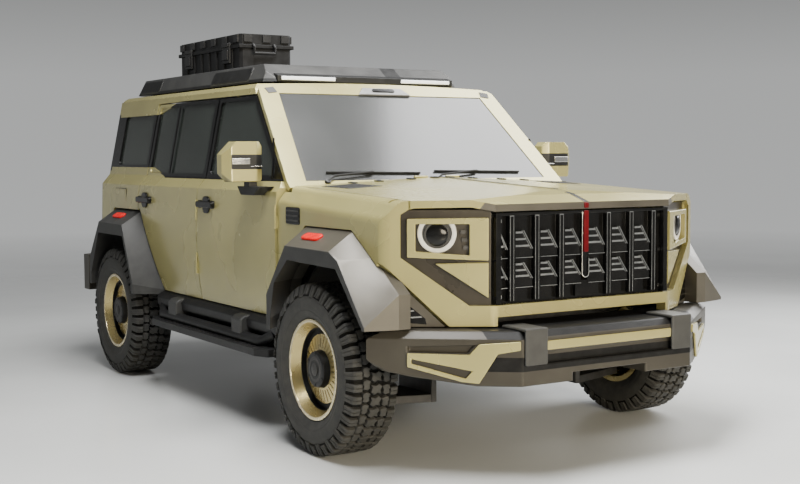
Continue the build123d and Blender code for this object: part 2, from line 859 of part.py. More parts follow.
BAR_PITCH = 142
BAR_HALF = 11
BAR_TOP_Z = 1150
TOOTH_ROWS = ((1082, 998), (938, 864))
TOOTH_SKIRT = 40
SENSOR_Z = (766, 838)

with BuildPart() as grille:
    plan_prism(nose_plan(RECESS), GRILLE_BOTTOM_Z + GLASS_CLEAR, LAMP_TOP_Z - 2)
    plan_prism(nose_plan(RECESS + PANEL_THICK), 400, 1500, Mode.SUBTRACT)
    front_prism(nose_opening(GLASS_CLEAR), FRONT_END_Y, behind(FENDER_FRONT_U) - 62, Mode.INTERSECT)
    front_y = behind(NOSE_U)
    back_y = front_y + RECESS + 4
    block(
        (-NOSE_FLAT_X, NOSE_FLAT_X),
        (front_y - 40, front_y + RECESS + PANEL_THICK + 1),
        (GRILLE_TOP_Z, LAMP_TOP_Z),
        Mode.SUBTRACT,
    )
    for column in range(-3, 4):
        mid = column * BAR_PITCH
        low_z = 850 if column == 0 else GRILLE_BOTTOM_Z + 12
        block((mid - BAR_HALF, mid + BAR_HALF), (front_y + 6, back_y), (low_z, BAR_TOP_Z))
        if column == -3:
            continue
        near, far = mid - BAR_PITCH, mid
        for top_z, low_z in TOOTH_ROWS:
            front_prism(
                [
                    (near + 20, top_z),
                    (near + 70, top_z),
                    (far - 20, low_z),
                    (far - 20, low_z - TOOTH_SKIRT),
                    (near + 20, low_z - TOOTH_SKIRT),
                ],
                front_y + 12,
                back_y,
            )
    block((-50, 50), (front_y + 16, back_y), SENSOR_Z)
    block((-GRILLE_HALF, GRILLE_HALF), (front_y + 2, back_y), (BAR_TOP_Z, GRILLE_TOP_Z))
    for side in SIDES.values():
        block(
            sorted((side * (GRILLE_HALF - 26), side * GRILLE_HALF)),
            (front_y, back_y),
            (GRILLE_BOTTOM_Z + 4, GRILLE_TOP_Z),
        )
write(grille, "grille")

PANEL_RUN = NOSE_CORNER_X - RECESS - NOSE_FLAT_X
PANEL_RISE = NOSE_CORNER_U - NOSE_U - RECESS / 2


SWEEP = Vector(PANEL_RUN, PANEL_RISE, 0).normalized()
BEZEL_DEPTH = 29
BEZEL_SHIFT = 15
BEZEL = ((545, 953), (545, 1143), (849, 1140), (849, 968))
BEZEL_HOLE = ((616, 976), (616, 1116), (818, 1117), (818, 995))
CORNER_PLATE = ((746, 940), (545, 946), (545, 786))


def lamp_plane(side):
    """The swept part of the recessed panel, with heights as its second direction."""
    outward = Vector(side * SWEEP.Y, -SWEEP.X, 0)
    start = Vector(side * NOSE_FLAT_X, behind(NOSE_U + RECESS), 0)
    return Plane(origin=start + outward * GLASS_CLEAR, x_dir=(SWEEP.X, side * SWEEP.Y, 0), z_dir=outward)


def along_sweep(side, points, shift):
    """Front view points, as distances from the middle and heights, laid on the swept panel."""
    return [(side * (x - shift - NOSE_FLAT_X) / SWEEP.X, z) for x, z in points]


HOLE_MIDDLE = (sum(x for x, _ in BEZEL_HOLE) / 4, sum(z for _, z in BEZEL_HOLE) / 4)
LENS_SHRINK = 0.01


def lens_edge(side):
    """Opening of a bezel, a little smaller all round, for the lens behind it."""
    mid_x, mid_z = HOLE_MIDDLE
    points = [(x + (mid_x - x) * LENS_SHRINK, z + (mid_z - z) * LENS_SHRINK) for x, z in BEZEL_HOLE]
    return along_sweep(side, points, BEZEL_SHIFT)


with BuildPart() as headlamps:
    for side in SIDES.values():
        for start, depth, radius in ((0, 8, LAMP_R), (8, 5, LAMP_R * 0.6)):
            with BuildSketch(lamp_plane(side).offset(start)):
                with Locations(along_sweep(side, [(LAMP_X, LAMP_Z)], 0)):
                    Circle(radius)
                with BuildLine():
                    Polyline(*lens_edge(side), close=True)
                make_face(mode=Mode.INTERSECT)
            extrude(amount=depth)
write(headlamps, "headlamps")

with BuildPart() as bezels:
    for side in SIDES.values():
        with BuildSketch(lamp_plane(side)):
            with BuildLine():
                Polyline(*along_sweep(side, BEZEL, BEZEL_SHIFT), close=True)
            make_face()
            with BuildLine():
                Polyline(*along_sweep(side, BEZEL_HOLE, BEZEL_SHIFT), close=True)
            make_face(mode=Mode.SUBTRACT)
        extrude(amount=BEZEL_DEPTH)
        with BuildSketch(lamp_plane(side)):
            with BuildLine():
                Polyline(*along_sweep(side, CORNER_PLATE, BEZEL_SHIFT), close=True)
            make_face()
        extrude(amount=BEZEL_DEPTH - 6)
write(bezels, "lamp_bezels")


# Bumpers


def bumper_plan():
    """Plan outline of the front bumper."""
    front = FRONT_AXLE - FRONT_OVERHANG + STRAP_PROUD
    back = behind(NOSE_U) + 180
    end_y = behind(BUMPER_END_U)
    half = [
        (BUMPER_FLAT_X, front),
        (BUMPER_CORNER_X, front + BUMPER_SWEEP),
        (BUMPER_END_X, end_y),
        (900, end_y),
        (620, back),
    ]
    return half + [(-x, y) for x, y in reversed(half)]


NOTCH_HALF = 215
NOTCH_Z = 452
BAND_Z = (506, 560)
STRIP_Z = (565, 606)
UNDERCUT = ((640, BUMPER_LOW_Z - 2), (885, 451), (967, 471), (1043, 523), (1100, 562), (1100, 380), (640, 380))
CORNER_RUN = Vector(BUMPER_CORNER_X - BUMPER_FLAT_X, BUMPER_SWEEP, 0).normalized()
CORNER_PROUD = 12
POCKET = ((893, 560), (893, 583), (664, 593), (688, 556))
POCKET_DEPTH = 22
WING = (
    (895, 556),
    (682, 552),
    (648, 599),
    (507, 613),
    (507, 575),
    (584, 557),
    (648, 426),
    (709, 434),
    (895, 496),
)
WING_SLOT = ((880, 530), (672, 480), (694, 448), (880, 511))
face_y = FRONT_AXLE - FRONT_OVERHANG + STRAP_PROUD


def corner_plane(side):
    """A swept corner of the front bumper, with heights as its second direction."""
    outward = Vector(side * CORNER_RUN.Y, -CORNER_RUN.X, 0)
    return Plane(
        origin=Vector(side * BUMPER_FLAT_X, face_y, 0) + outward * GLASS_CLEAR,
        x_dir=(CORNER_RUN.X, side * CORNER_RUN.Y, 0),
        z_dir=outward,
    )


def corner_outline(side, points):
    """Front view points, as distances from the middle and heights, laid on a swept corner."""
    return [(side * (x - BUMPER_FLAT_X) / CORNER_RUN.X, z) for x, z in points]


with BuildPart() as front_bumper:
    plan_prism(bumper_plan(), BUMPER_LOW_Z, BUMPER_TOP_Z)
    chamfer(front_bumper.edges().group_by(Axis.Z)[-1].sort_by(Axis.Y)[:3], BUMPER_CHAMFER)
    block((-NOTCH_HALF, NOTCH_HALF), (face_y - 50, face_y + 500), (380, NOTCH_Z), Mode.SUBTRACT)
    block((-STRAP_X, STRAP_X), (face_y - 50, face_y + 22), BAND_Z, Mode.SUBTRACT)
    for side in SIDES.values():
        front_prism([(side * x, z) for x, z in UNDERCUT], face_y - 50, face_y + 600, Mode.SUBTRACT)
        with BuildSketch(corner_plane(side).offset(1)) as pocket:
            with BuildLine():
                Polyline(*corner_outline(side, POCKET), close=True)
            make_face()
        extrude(pocket.sketch, amount=-POCKET_DEPTH, mode=Mode.SUBTRACT)
write(front_bumper, "front_bumper")

with BuildPart() as bumper_trim:
    inner = STRAP_X - STRAP_WIDTH / 2 - 1
    block((-inner, inner), (face_y - 6, face_y - GLASS_CLEAR), STRIP_Z)
    for side in SIDES.values():
        with BuildSketch(corner_plane(side)):
            for points, mode in ((WING, Mode.ADD), (WING_SLOT, Mode.SUBTRACT)):
                with BuildLine():
                    Polyline(*corner_outline(side, points), close=True)
                make_face(mode=mode)
        extrude(amount=CORNER_PROUD)
write(bumper_trim, "bumper_trim")

with BuildPart() as straps:
    strap_front = FRONT_AXLE - FRONT_OVERHANG
    for side in SIDES.values():
        low_x = side * STRAP_X - STRAP_WIDTH / 2
        block(
            (low_x, low_x + STRAP_WIDTH),
            (strap_front, strap_front + STRAP_PROUD - GLASS_CLEAR),
            (505, BUMPER_TOP_Z + STRAP_PROUD),
        )
        block(
            (low_x, low_x + STRAP_WIDTH),
            (strap_front, behind(NOSE_U) - 8),
            (BUMPER_TOP_Z + GLASS_CLEAR, BUMPER_TOP_Z + STRAP_PROUD),
        )
write(straps, "bumper_straps")

with BuildPart() as rear_bumper:
    rear_face = TAIL + REAR_BUMPER_DEPTH
    plan_prism(
        [
            (-REAR_BUMPER_HALF, TAIL - 2 + GLASS_CLEAR),
            (REAR_BUMPER_HALF, TAIL - 2 + GLASS_CLEAR),
            (REAR_BUMPER_HALF, rear_face - 120),
            (860, rear_face),
            (-860, rear_face),
            (-REAR_BUMPER_HALF, rear_face - 120),
        ],
        REAR_BUMPER_LOW_Z,
        REAR_BUMPER_TOP_Z,
    )
    with BuildSketch(Plane.XZ.offset(-rear_face)):
        with Locations((0, TOW_Z)):
            with GridLocations(TOW_SPACING_X, TOW_SPACING_Z, 2, 2):
                Circle(TOW_HOLE_R)
    extrude(amount=TOW_HOLE_DEPTH, mode=Mode.SUBTRACT)
write(rear_bumper, "rear_bumper")


# Flares and steps

CHEEK_GAP = 8
CHEEK_INSET = 16
CHEEK_THICK = 18

with BuildPart() as cheeks:
    plan_prism(nose_plan(CHEEK_INSET), FRONT_FOOT_Z, CHEEK_Z[1])
    plan_prism(nose_plan(CHEEK_INSET + CHEEK_THICK), 400, 1500, Mode.SUBTRACT)
    rise = (CHEEK_Z[1] - CHEEK_Z[0]) / (CHEEK_X[1] - CHEEK_X[0])
    inner_x, outer_x = CHEEK_X[0] + CHEEK_GAP, FLARE_INNER_X + 30
    with BuildSketch(Plane.XZ.offset(-behind(0))) as corners:
        for side in SIDES.values():
            with BuildLine():
                Polyline(
                    (side * inner_x, FRONT_FOOT_Z),
                    (side * outer_x, FRONT_FOOT_Z + (outer_x - inner_x) * rise),
                    (side * outer_x, FRONT_FOOT_Z),
                    close=True,
                )
            make_face()
    extrude(corners.sketch, amount=behind(0) - FRONT_END_Y, mode=Mode.INTERSECT)

with BuildPart() as inner_flares:
    for which in FLARE_ROOTS:
        for side in SIDES.values():
            side_prism(flare_outline(which), side * FLARE_INNER_X, side * FLARE_ROOT_X)
            side_prism(arch_outline(which, 0), side * 700, side * 1200, Mode.SUBTRACT)

with BuildPart() as flares:
    for which, lip in FLARE_LIPS.items():
        outer = [(AXLES[which] + y, z) for y, z in lip]
        reach = FLARE_OUT_X - FLARE_ROOT_X
        for side in SIDES.values():
            between_planes(side * FLARE_ROOT_X, flare_outline(which), side * FLARE_OUT_X, outer)
            between_planes(
                side * (FLARE_ROOT_X - 0.05 * reach),
                arch_outline(which, -0.05),
                side * (FLARE_ROOT_X + 1.05 * reach),
                arch_outline(which, 1.05),
                Mode.SUBTRACT,
            )
    add(inner_flares.part)
    block((-1200, 1200), (behind(-700), behind(-300)), (400, FRONT_FOOT_Z), Mode.SUBTRACT)
    add(cheeks.part)
write(flares, "wheel_flares")

STEP_OUT_X = 1048
STEP_Z = 388

with BuildPart() as steps:
    step_from = behind(FLARE_ROOTS["front"][-1][0]) + 12
    step_to = REAR_AXLE + FLARE_ROOTS["rear"][0][0] - 12
    for side in SIDES.values():
        plan_prism(
            [
                (side * 850, step_from),
                (side * (STEP_OUT_X - 40), step_from),
                (side * STEP_OUT_X, step_from + 90),
                (side * STEP_OUT_X, step_to - 90),
                (side * (STEP_OUT_X - 40), step_to),
                (side * 850, step_to),
            ],
            STEP_Z,
            STEP_Z + 42,
        )
        block(
            sorted((side * 850, side * 920)),
            (step_from, step_to),
            (STEP_Z + 42, SILL_Z - GLASS_CLEAR),
        )
write(steps, "side_steps")


# Roof tray and hard case

with BuildPart() as tray:
    front, back = behind(TRAY_FRONT_U), behind(TRAY_REAR_U)
    with BuildSketch(Plane.XY.offset(TRAY_LOW_Z + 1)):
        with BuildLine():
            Polyline(
                (-TRAY_HALF, front + 60),
                (-TRAY_HALF + 70, front),
                (TRAY_HALF - 70, front),
                (TRAY_HALF, front + 60),
                (TRAY_HALF, back - 40),
                (TRAY_HALF - 40, back),
                (-TRAY_HALF + 40, back),
                (-TRAY_HALF, back - 40),
                close=True,
            )
        make_face()
    extrude(amount=TRAY_TOP_Z - TRAY_LOW_Z - 1, taper=25)
    side_prism(
        [
            (front - 20, TRAY_LOW_Z + 12),
            (front, TRAY_LOW_Z + 12),
            (front + TRAY_NOSE, TRAY_TOP_Z + 6),
            (front - 20, TRAY_TOP_Z + 6),
        ],
        -TRAY_HALF - 10,
        TRAY_HALF + 10,
        Mode.SUBTRACT,
    )
    block(
        (-TRAY_HALF + 90, TRAY_HALF - 90),
        (front + TRAY_NOSE + 40, back - 90),
        (TRAY_LOW_Z + TRAY_FLOOR + 30, TRAY_TOP_Z + 50),
        Mode.SUBTRACT,
    )
    for y in (front + 260, (front + back) / 2, back - 260):
        for side in SIDES.values():
            block(
                sorted((side * (TRAY_HALF - 105), side * (TRAY_HALF - 45))),
                (y - 60, y + 60),
                (CANT_Z + 32, TRAY_LOW_Z + 1),
            )
    with BuildSketch(Plane.XZ.offset(-back)):
        with BuildLine():
            Polyline((-shoulder_x, CANT_Z), (shoulder_x, CANT_Z), (shoulder_x, shoulder_z))
            ThreePointArc((shoulder_x, shoulder_z), (0, ROOF_CROWN_Z), (-shoulder_x, shoulder_z))
            Line((-shoulder_x, shoulder_z), (-shoulder_x, CANT_Z))
        make_face()
    extrude(amount=back - front, mode=Mode.SUBTRACT)
write(tray, "roof_tray")

CASE_FLOOR_Z = TRAY_LOW_Z + TRAY_FLOOR + 30

with BuildPart() as case:
    block(
        (CASE_X, CASE_X + CASE_WIDTH),
        (behind(CASE_U), behind(CASE_U) + CASE_LENGTH),
        (CASE_FLOOR_Z, CASE_FLOOR_Z + CASE_HEIGHT),
    )
    chamfer(case.edges().filter_by(Axis.Z), 18)
    block(
        (CASE_X - 12, CASE_X + CASE_WIDTH + 12),
        (behind(CASE_U) - 12, behind(CASE_U) + CASE_LENGTH + 12),
        (CASE_FLOOR_Z + CASE_HEIGHT - 90, CASE_FLOOR_Z + CASE_HEIGHT - 66),
    )
    for share in range(1, CASE_RIBS + 1):
        rib_y = behind(CASE_U) + CASE_LENGTH * share / (CASE_RIBS + 1)
        block(
            (CASE_X - 8, CASE_X + CASE_WIDTH + 8),
            (rib_y - 14, rib_y + 14),
            (CASE_FLOOR_Z + 24, CASE_FLOOR_Z + CASE_HEIGHT - 90),
        )
write(case, "roof_case")


# Tailgate with its glass and the spare wheel

TAIL_POST = 132
TAILGATE_HALF = BELT_X - TAIL_POST
TAILGATE_LOW_Z = 760
TAILGATE_TOP_Z = 1752
TAILGATE_THICK = 62
REAR_WINDOW_HALF = 600
REAR_WINDOW_LOW_Z = 1330
REAR_WINDOW_TOP_Z = 1690
SPARE_Z = 1165
SPARE_Y = TAIL + SPARE_STANDOFF + TYRE_WIDTH / 2


def tailgate_outline(grow=0):
    """Tailgate in the rear view, leaning in above the belt with the body sides."""
    lean = (BELT_X - CANT_X) / (CANT_Z - BELT_Z)
    head = TAILGATE_HALF - lean * (TAILGATE_TOP_Z - BELT_Z)
    return [
        (-TAILGATE_HALF - grow, TAILGATE_LOW_Z - grow),
        (-TAILGATE_HALF - grow, BELT_Z),
        (-head - grow, TAILGATE_TOP_Z + grow),
        (head + grow, TAILGATE_TOP_Z + grow),
        (TAILGATE_HALF + grow, BELT_Z),
        (TAILGATE_HALF + grow, TAILGATE_LOW_Z - grow),
    ]


def rear_window_outline(inset=0):
    """Opening for the tailgate's glass in the rear view."""
    return [
        (-REAR_WINDOW_HALF + inset, REAR_WINDOW_LOW_Z + inset),
        (REAR_WINDOW_HALF - inset, REAR_WINDOW_LOW_Z + inset),
        (REAR_WINDOW_HALF - 50 - inset, REAR_WINDOW_TOP_Z - inset),
        (-REAR_WINDOW_HALF + 50 + inset, REAR_WINDOW_TOP_Z - inset),
    ]


with BuildPart() as tailgate:
    front_prism(tailgate_outline(), TAIL - TAILGATE_THICK, TAIL)
    front_prism(rear_window_outline(), TAIL - 200, TAIL + 10, Mode.SUBTRACT, radius=30)
    with BuildSketch(Plane.XZ.offset(-TAIL)):
        with Locations((0, SPARE_Z)):
            Circle(95)
    extrude(amount=-(SPARE_STANDOFF + TYRE_WIDTH / 2 - HUB_BACK - GLASS_CLEAR))
    hang_on(-TAILGATE_HALF, TAIL, TAILGATE_HINGES_Z)
write(tailgate, "tailgate")

with BuildPart() as tailgate_glass:
    front_prism(
        rear_window_outline(GLASS_CLEAR),
        TAIL - GLASS_INSET - GLASS_THICK,
        TAIL - GLASS_INSET,
        radius=30,
    )
write(tailgate_glass, "tailgate_glass")

REAR_RING_DEPTH = 62

with BuildPart() as rear_frame:
    front_prism(
        [
            (-ROCKER_X + 4, SILL_Z),
            (-BULGE_X + 4, BULGE_Z),
            (-SHOULDER_X + 4, SHOULDER_Z),
            (-BELT_X + 4, BELT_Z),
            (-CANT_X + 4, CANT_Z - 1),
            (CANT_X - 4, CANT_Z - 1),
            (BELT_X - 4, BELT_Z),
            (SHOULDER_X - 4, SHOULDER_Z),
            (BULGE_X - 4, BULGE_Z),
            (ROCKER_X - 4, SILL_Z),
        ],
        TAIL - 40 + GLASS_CLEAR,
        TAIL - 2,
    )
    front_prism(tailgate_outline(DOOR_GAP), TAIL - 200, TAIL + 10, Mode.SUBTRACT)
    for z in TAILGATE_HINGES_Z:
        low_z = z - HINGE_LENGTH - GLASS_CLEAR
        hinge_leaf(-TAILGATE_HALF, TAIL, low_z)
        block(
            (-TAILGATE_HALF - 40, -TAILGATE_HALF - 2),
            (TAIL - 8, TAIL + 4),
            (low_z, low_z + HINGE_LENGTH),
        )
write(rear_frame, "rear_frame")

with BuildPart() as tail_lamps:
    for side in SIDES.values():
        block(
            sorted((side * 780, side * 880)),
            (TAIL - 2 + GLASS_CLEAR, TAIL + 26),
            (910, 1170),
        )
write(tail_lamps, "tail_lamps")


# Wheels


LUGS = 24
LUG_SHARE = 0.6
LUG_HALF = TREAD_WIDTH / 2 + 4
LUG_FOOT_R = TYRE_R - 38
LUG_RING_R = 330
CROWN_R = TYRE_R - 19
SHOULDER_R = 334
FLANK_R = 312
BEAD_X = RIM_WIDTH / 2 - 8 - GLASS_CLEAR


def ring_point(radius, angle):
    """A point at a radius and an angle in degrees, measured from straight down."""
    return (radius * sin(radians(angle)), -radius * cos(radians(angle)))


def facet_ring(radius):
    """Side view of the carcass: a regular outline with one flat under each lug."""
    step = 360 / LUGS
    corner = radius / cos(radians(step / 2))
    return [ring_point(corner, (n + 0.5) * step) for n in range(LUGS)]


def lug_ring():
    """Side view of the lugs: flat tips with notches between them, the first one straight down."""
    step = 360 / LUGS
    half = step * LUG_SHARE / 2
    tip = TYRE_R / cos(radians(half))
    foot = LUG_FOOT_R / cos(radians(step / 2))
    points = []
    for lug in range(LUGS):
        middle = lug * step
        points += [
            ring_point(tip, middle - half),
            ring_point(tip, middle + half),
            ring_point(foot, middle + step / 2),
        ]
    return points


def ring_face(plane, points, hole=()):
    """A face from an outline on a plane, with a second outline cut out of it if one is given."""
    with BuildSketch(plane) as face:
        with BuildLine():
            Polyline(*points, close=True)
        make_face()
        if hole:
            with BuildLine():
                Polyline(*hole, close=True)
            make_face(mode=Mode.SUBTRACT)
    return face.sketch


def slope(drop, run):
    """Taper in degrees that loses this much radius over a run."""
    return degrees(atan(drop / run))


def tyre_solid(plane):
    """A tyre in flat facets, turned about the plane's X direction, with lugs around its shoulders."""
    wheel = Plane(origin=plane.origin, x_dir=plane.z_dir, z_dir=plane.x_dir)
    crown, flank = TREAD_WIDTH / 2, TYRE_WIDTH / 2
    extrude(ring_face(wheel.offset(-crown), facet_ring(CROWN_R)), amount=2 * crown)
    for way in (-1, 1):
        extrude(
            ring_face(wheel.offset(way * crown), facet_ring(CROWN_R)),
            amount=way * (flank - crown),
            taper=slope(CROWN_R - SHOULDER_R, flank - crown),
        )
        extrude(
            ring_face(wheel.offset(way * flank), facet_ring(FLANK_R)),
            amount=-way * (flank - BEAD_X),
            taper=slope(FLANK_R - RIM_LIP_R - 5, flank - BEAD_X),
            mode=Mode.SUBTRACT,
        )
    extrude(ring_face(wheel.offset(-LUG_HALF), lug_ring(), facet_ring(LUG_RING_R)), amount=2 * LUG_HALF)
    extrude(ring_face(wheel.offset(-TYRE_WIDTH), facet_ring(BEAD_R)), amount=2 * TYRE_WIDTH, mode=Mode.SUBTRACT)


DISH_R = 196
DISC_R = 166
RING_DEPTH = 12
FLUTES = 30


def rim_solid(plane, bore):
    """A dished rim facing along the plane's X direction, with a blind hub bore if one is wanted."""
    half = RIM_WIDTH / 2
    barrel = BEAD_R - GLASS_CLEAR
    face = half - DISC_INSET
    with BuildSketch(plane) as profile:
        with BuildLine():
            Polyline(
                (-half, barrel - RIM_WALL),
                (-half, RIM_LIP_R),
                (-half + 8, RIM_LIP_R),
                (-half + 8, barrel),
                (half - 8, barrel),
                (half - 8, RIM_LIP_R),
                (half, RIM_LIP_R),
                (half, barrel - 4),
                (face + 12, DISH_R),
                (face - RING_DEPTH, DISH_R),
                (face - RING_DEPTH, DISC_R + 4),
                (face, DISC_R),
                (face + 10, HUB_CAP_R),
                (face + 40, HUB_CAP_R - 6),
                (face + 44, HUB_CAP_R - 16),
                (face + 44, 0),
                (-HUB_BACK, 0),
                (-HUB_BACK, HUB_R),
                (face - DISC_THICK - RING_DEPTH, HUB_R),
                (face - DISC_THICK - RING_DEPTH, barrel - RIM_WALL),
                close=True,
            )
        make_face()
    revolve(profile.sketch, axis=Axis(plane.origin, plane.x_dir))
    wheel = Plane(origin=plane.origin + plane.x_dir * (face - 3), x_dir=plane.z_dir, z_dir=plane.x_dir)
    with BuildSketch(wheel) as grooves:
        with PolarLocations((DISC_R + HUB_CAP_R) / 2 + 2, FLUTES):
            Rectangle(DISC_R - HUB_CAP_R - 18, 6)
    extrude(grooves.sketch, amount=30, mode=Mode.SUBTRACT)
    if bore:
        with BuildSketch(Plane(origin=plane.origin - plane.x_dir * 60, z_dir=plane.x_dir)) as hole:
            Circle(SPINDLE_R + RUN_CLEAR)
        extrude(hole.sketch, amount=60 + face - 6, mode=Mode.SUBTRACT)


WHEELS = {
    # station of the axle and side of the vehicle
    "front_right": (FRONT_AXLE, RIGHT),
    "front_left": (FRONT_AXLE, LEFT),
    "rear_right": (REAR_AXLE, RIGHT),
    "rear_left": (REAR_AXLE, LEFT),
}

for wheel_name, (axle, side) in WHEELS.items():
    hub_plane = Plane(origin=(side * TRACK / 2, axle, TYRE_R), x_dir=(side, 0, 0), z_dir=(0, -side, 0))
    with BuildPart() as tyre:
        tyre_solid(hub_plane)
    write(tyre, f"tyre_{wheel_name}")
    with BuildPart() as rim:
        rim_solid(hub_plane, bore=True)
    write(rim, f"rim_{wheel_name}")

SPARE_PLANE = Plane(origin=(0, SPARE_Y, SPARE_Z), x_dir=(0, 1, 0), z_dir=(1, 0, 0))

with BuildPart() as spare_tyre:
    tyre_solid(SPARE_PLANE)
write(spare_tyre, "spare_tyre")

with BuildPart() as spare_rim:
    rim_solid(SPARE_PLANE, bore=False)
write(spare_rim, "spare_rim")


# Steering knuckles: an upright on a kingpin, with the spindle that carries the wheel

KNUCKLE_LOW_Z = TYRE_R - 150
KNUCKLE_TOP_Z = TYRE_R + 150
KINGPIN_R = 22

for side_name, side in SIDES.items():
    with BuildPart() as knuckle:
        spindle_end = TRACK / 2 + RIM_WIDTH / 2 - DISC_INSET - 12
        cross_rod(side * STEER_PIN_X, side * spindle_end, FRONT_AXLE, TYRE_R, SPINDLE_R)
        cross_rod(side * (STEER_PIN_X - 30), side * (STEER_PIN_X + 40), FRONT_AXLE, TYRE_R, 85)
        block(
            sorted((side * (STEER_PIN_X - 38), side * (STEER_PIN_X + 38))),
            (FRONT_AXLE - 42, FRONT_AXLE + 42),
            (KNUCKLE_LOW_Z, KNUCKLE_TOP_Z),
        )
        with Locations((side * STEER_PIN_X, FRONT_AXLE, TYRE_R)):
            Cylinder(KINGPIN_R + RUN_CLEAR, 400, mode=Mode.SUBTRACT)
    write(knuckle, f"knuckle_{side_name}")


# Underbody

RAIL_LOW_Z, RAIL_TOP_Z = 462, 562
DIFF_R = 150
AXLE_TUBE_R = 48

with BuildPart() as suspension:
    for side in SIDES.values():
        for z in (KNUCKLE_LOW_Z - 44, KNUCKLE_TOP_Z + 6):
            plan_prism(
                [
                    (side * (FRAME_RAIL_X + 60), FRONT_AXLE - 150),
                    (side * (STEER_PIN_X + 34), FRONT_AXLE - 34),
                    (side * (STEER_PIN_X + 34), FRONT_AXLE + 34),
                    (side * (FRAME_RAIL_X + 60), FRONT_AXLE + 150),
                ],
                z,
                z + 38,
            )
        block(
            sorted((side * (FRAME_RAIL_X + 40 + GLASS_CLEAR), side * (FRAME_RAIL_X + 70))),
            (FRONT_AXLE - 150, FRONT_AXLE + 150),
            (KNUCKLE_LOW_Z - 44, KNUCKLE_TOP_Z + 44),
        )
        with BuildSketch(Plane.XY.offset(KNUCKLE_LOW_Z - 20)):
            with Locations((side * STEER_PIN_X, FRONT_AXLE)):
                Circle(KINGPIN_R)
        extrude(amount=KNUCKLE_TOP_Z - KNUCKLE_LOW_Z + 40)
write(suspension, "front_suspension")

with BuildPart() as rear_axle:
    hub_x = TRACK / 2 - 45
    spindle_end = TRACK / 2 + RIM_WIDTH / 2 - DISC_INSET - 12
    neck_x = (DIFF_R**2 - AXLE_TUBE_R**2) ** 0.5
    with BuildSketch(Plane(origin=(0, REAR_AXLE, TYRE_R), x_dir=(1, 0, 0), z_dir=(0, -1, 0))):
        with BuildLine():
            Polyline(
                (-neck_x, AXLE_TUBE_R),
                (-hub_x, AXLE_TUBE_R),
                (-hub_x, SPINDLE_R),
                (-spindle_end, SPINDLE_R),
                (-spindle_end, 0),
                (spindle_end, 0),
                (spindle_end, SPINDLE_R),
                (hub_x, SPINDLE_R),
                (hub_x, AXLE_TUBE_R),
                (neck_x, AXLE_TUBE_R),
            )
            ThreePointArc((neck_x, AXLE_TUBE_R), (0, DIFF_R), (-neck_x, AXLE_TUBE_R))
        make_face()
    revolve(axis=Axis((0, REAR_AXLE, TYRE_R), (1, 0, 0)))
    for side in SIDES.values():
        block(
            sorted((side * (FRAME_RAIL_X - 35), side * (FRAME_RAIL_X + 35))),
            (REAR_AXLE - 30, REAR_AXLE + 30),
            (TYRE_R + 12, RAIL_LOW_Z - GLASS_CLEAR),
        )
write(rear_axle, "rear_axle")

with BuildPart() as frame:
    for side in SIDES.values():
        block(
            sorted((side * (FRAME_RAIL_X - 40), side * (FRAME_RAIL_X + 40))),
            (behind(NOSE_U) + 180 + GLASS_CLEAR, TAIL - 60),
            (RAIL_LOW_Z, RAIL_TOP_Z),
        )
    for y in (behind(NOSE_U) + 240, behind(1250), REAR_AXLE - 420, TAIL - 110):
        block((-FRAME_RAIL_X, FRAME_RAIL_X), (y - 45, y + 45), (RAIL_TOP_Z - 20, FLOOR_Z - GLASS_CLEAR))
    for y in (behind(700), behind(1950)):
        for side in SIDES.values():
            block(
                sorted((side * FRAME_RAIL_X, side * (BULGE_X - WALL_THICK - GLASS_CLEAR))),
                (y - 40, y + 40),
                (RAIL_LOW_Z + 20, RAIL_TOP_Z - 20),
            )
write(frame, "chassis_frame")

with BuildPart() as engine:
    block((-300, 300), (behind(-380), behind(330)), (480, 1080))
    mount_x = FRAME_RAIL_X - 40 - GLASS_CLEAR
    block((-mount_x, mount_x), (behind(-60), behind(60)), (490, 550))
write(engine, "engine_block")

with BuildPart() as drivetrain:
    rod((0, behind(330 + GLASS_CLEAR), 480), (0, behind(1080), 480), 95)
    rod((0, behind(1080), 480), (0, REAR_AXLE - DIFF_R - 1, TYRE_R + 10), 36)
    block((-40, 40), (behind(1220), behind(1280)), (470, RAIL_TOP_Z - 20 - GLASS_CLEAR))
write(drivetrain, "drivetrain")

FLOOR_THICK = 30
TUB_HALF = BULGE_X - WALL_THICK - POST_CLEAR - POST_DEPTH - GLASS_CLEAR

with BuildPart() as floor:
    block((-TUB_HALF, TUB_HALF), (behind(560), REAR_AXLE - 560), (FLOOR_Z, FLOOR_Z + FLOOR_THICK))
    block((-TUB_HALF, TUB_HALF), (behind(545), behind(575)), (FLOOR_Z, 1240))
    block((-560, 560), (REAR_AXLE - 560, TAIL - 66), (FLOOR_Z + 120, FLOOR_Z + 120 + FLOOR_THICK))
    block((-560, 560), (REAR_AXLE - 590, REAR_AXLE - 560), (FLOOR_Z, FLOOR_Z + 150))
write(floor, "floor_tub")

with BuildPart() as liners:
    for axle in (FRONT_AXLE, REAR_AXLE):
        for side in SIDES.values():
            with BuildSketch(Plane.YZ.offset(side * 580)):
                with Locations((axle, TYRE_R)):
                    Circle(ARCH_R + 10)
            extrude(amount=side * (FLARE_INNER_X - GLASS_CLEAR - 580))
            with BuildSketch(Plane.YZ.offset(side * 590)):
                with Locations((axle, TYRE_R)):
                    Circle(ARCH_R)
            extrude(amount=side * 300, mode=Mode.SUBTRACT)
    block((-1200, 1200), (FRONT_AXLE - 800, REAR_AXLE + 800), (-300, 640), Mode.SUBTRACT)
write(liners, "wheel_liners")


# Cabin

with BuildPart() as dashboard:
    side_prism(
        [
            (behind(575 + GLASS_CLEAR), 900),
            (behind(575 + GLASS_CLEAR), 1225),
            (behind(760), 1225),
            (behind(840), 1150),
            (behind(820), 1020),
            (behind(720), 900),
        ],
        -740,
        740,
    )
write(dashboard, "dashboard")

WHEEL_PIVOT = (370, behind(960), 1085)
COLUMN_TILT = 24

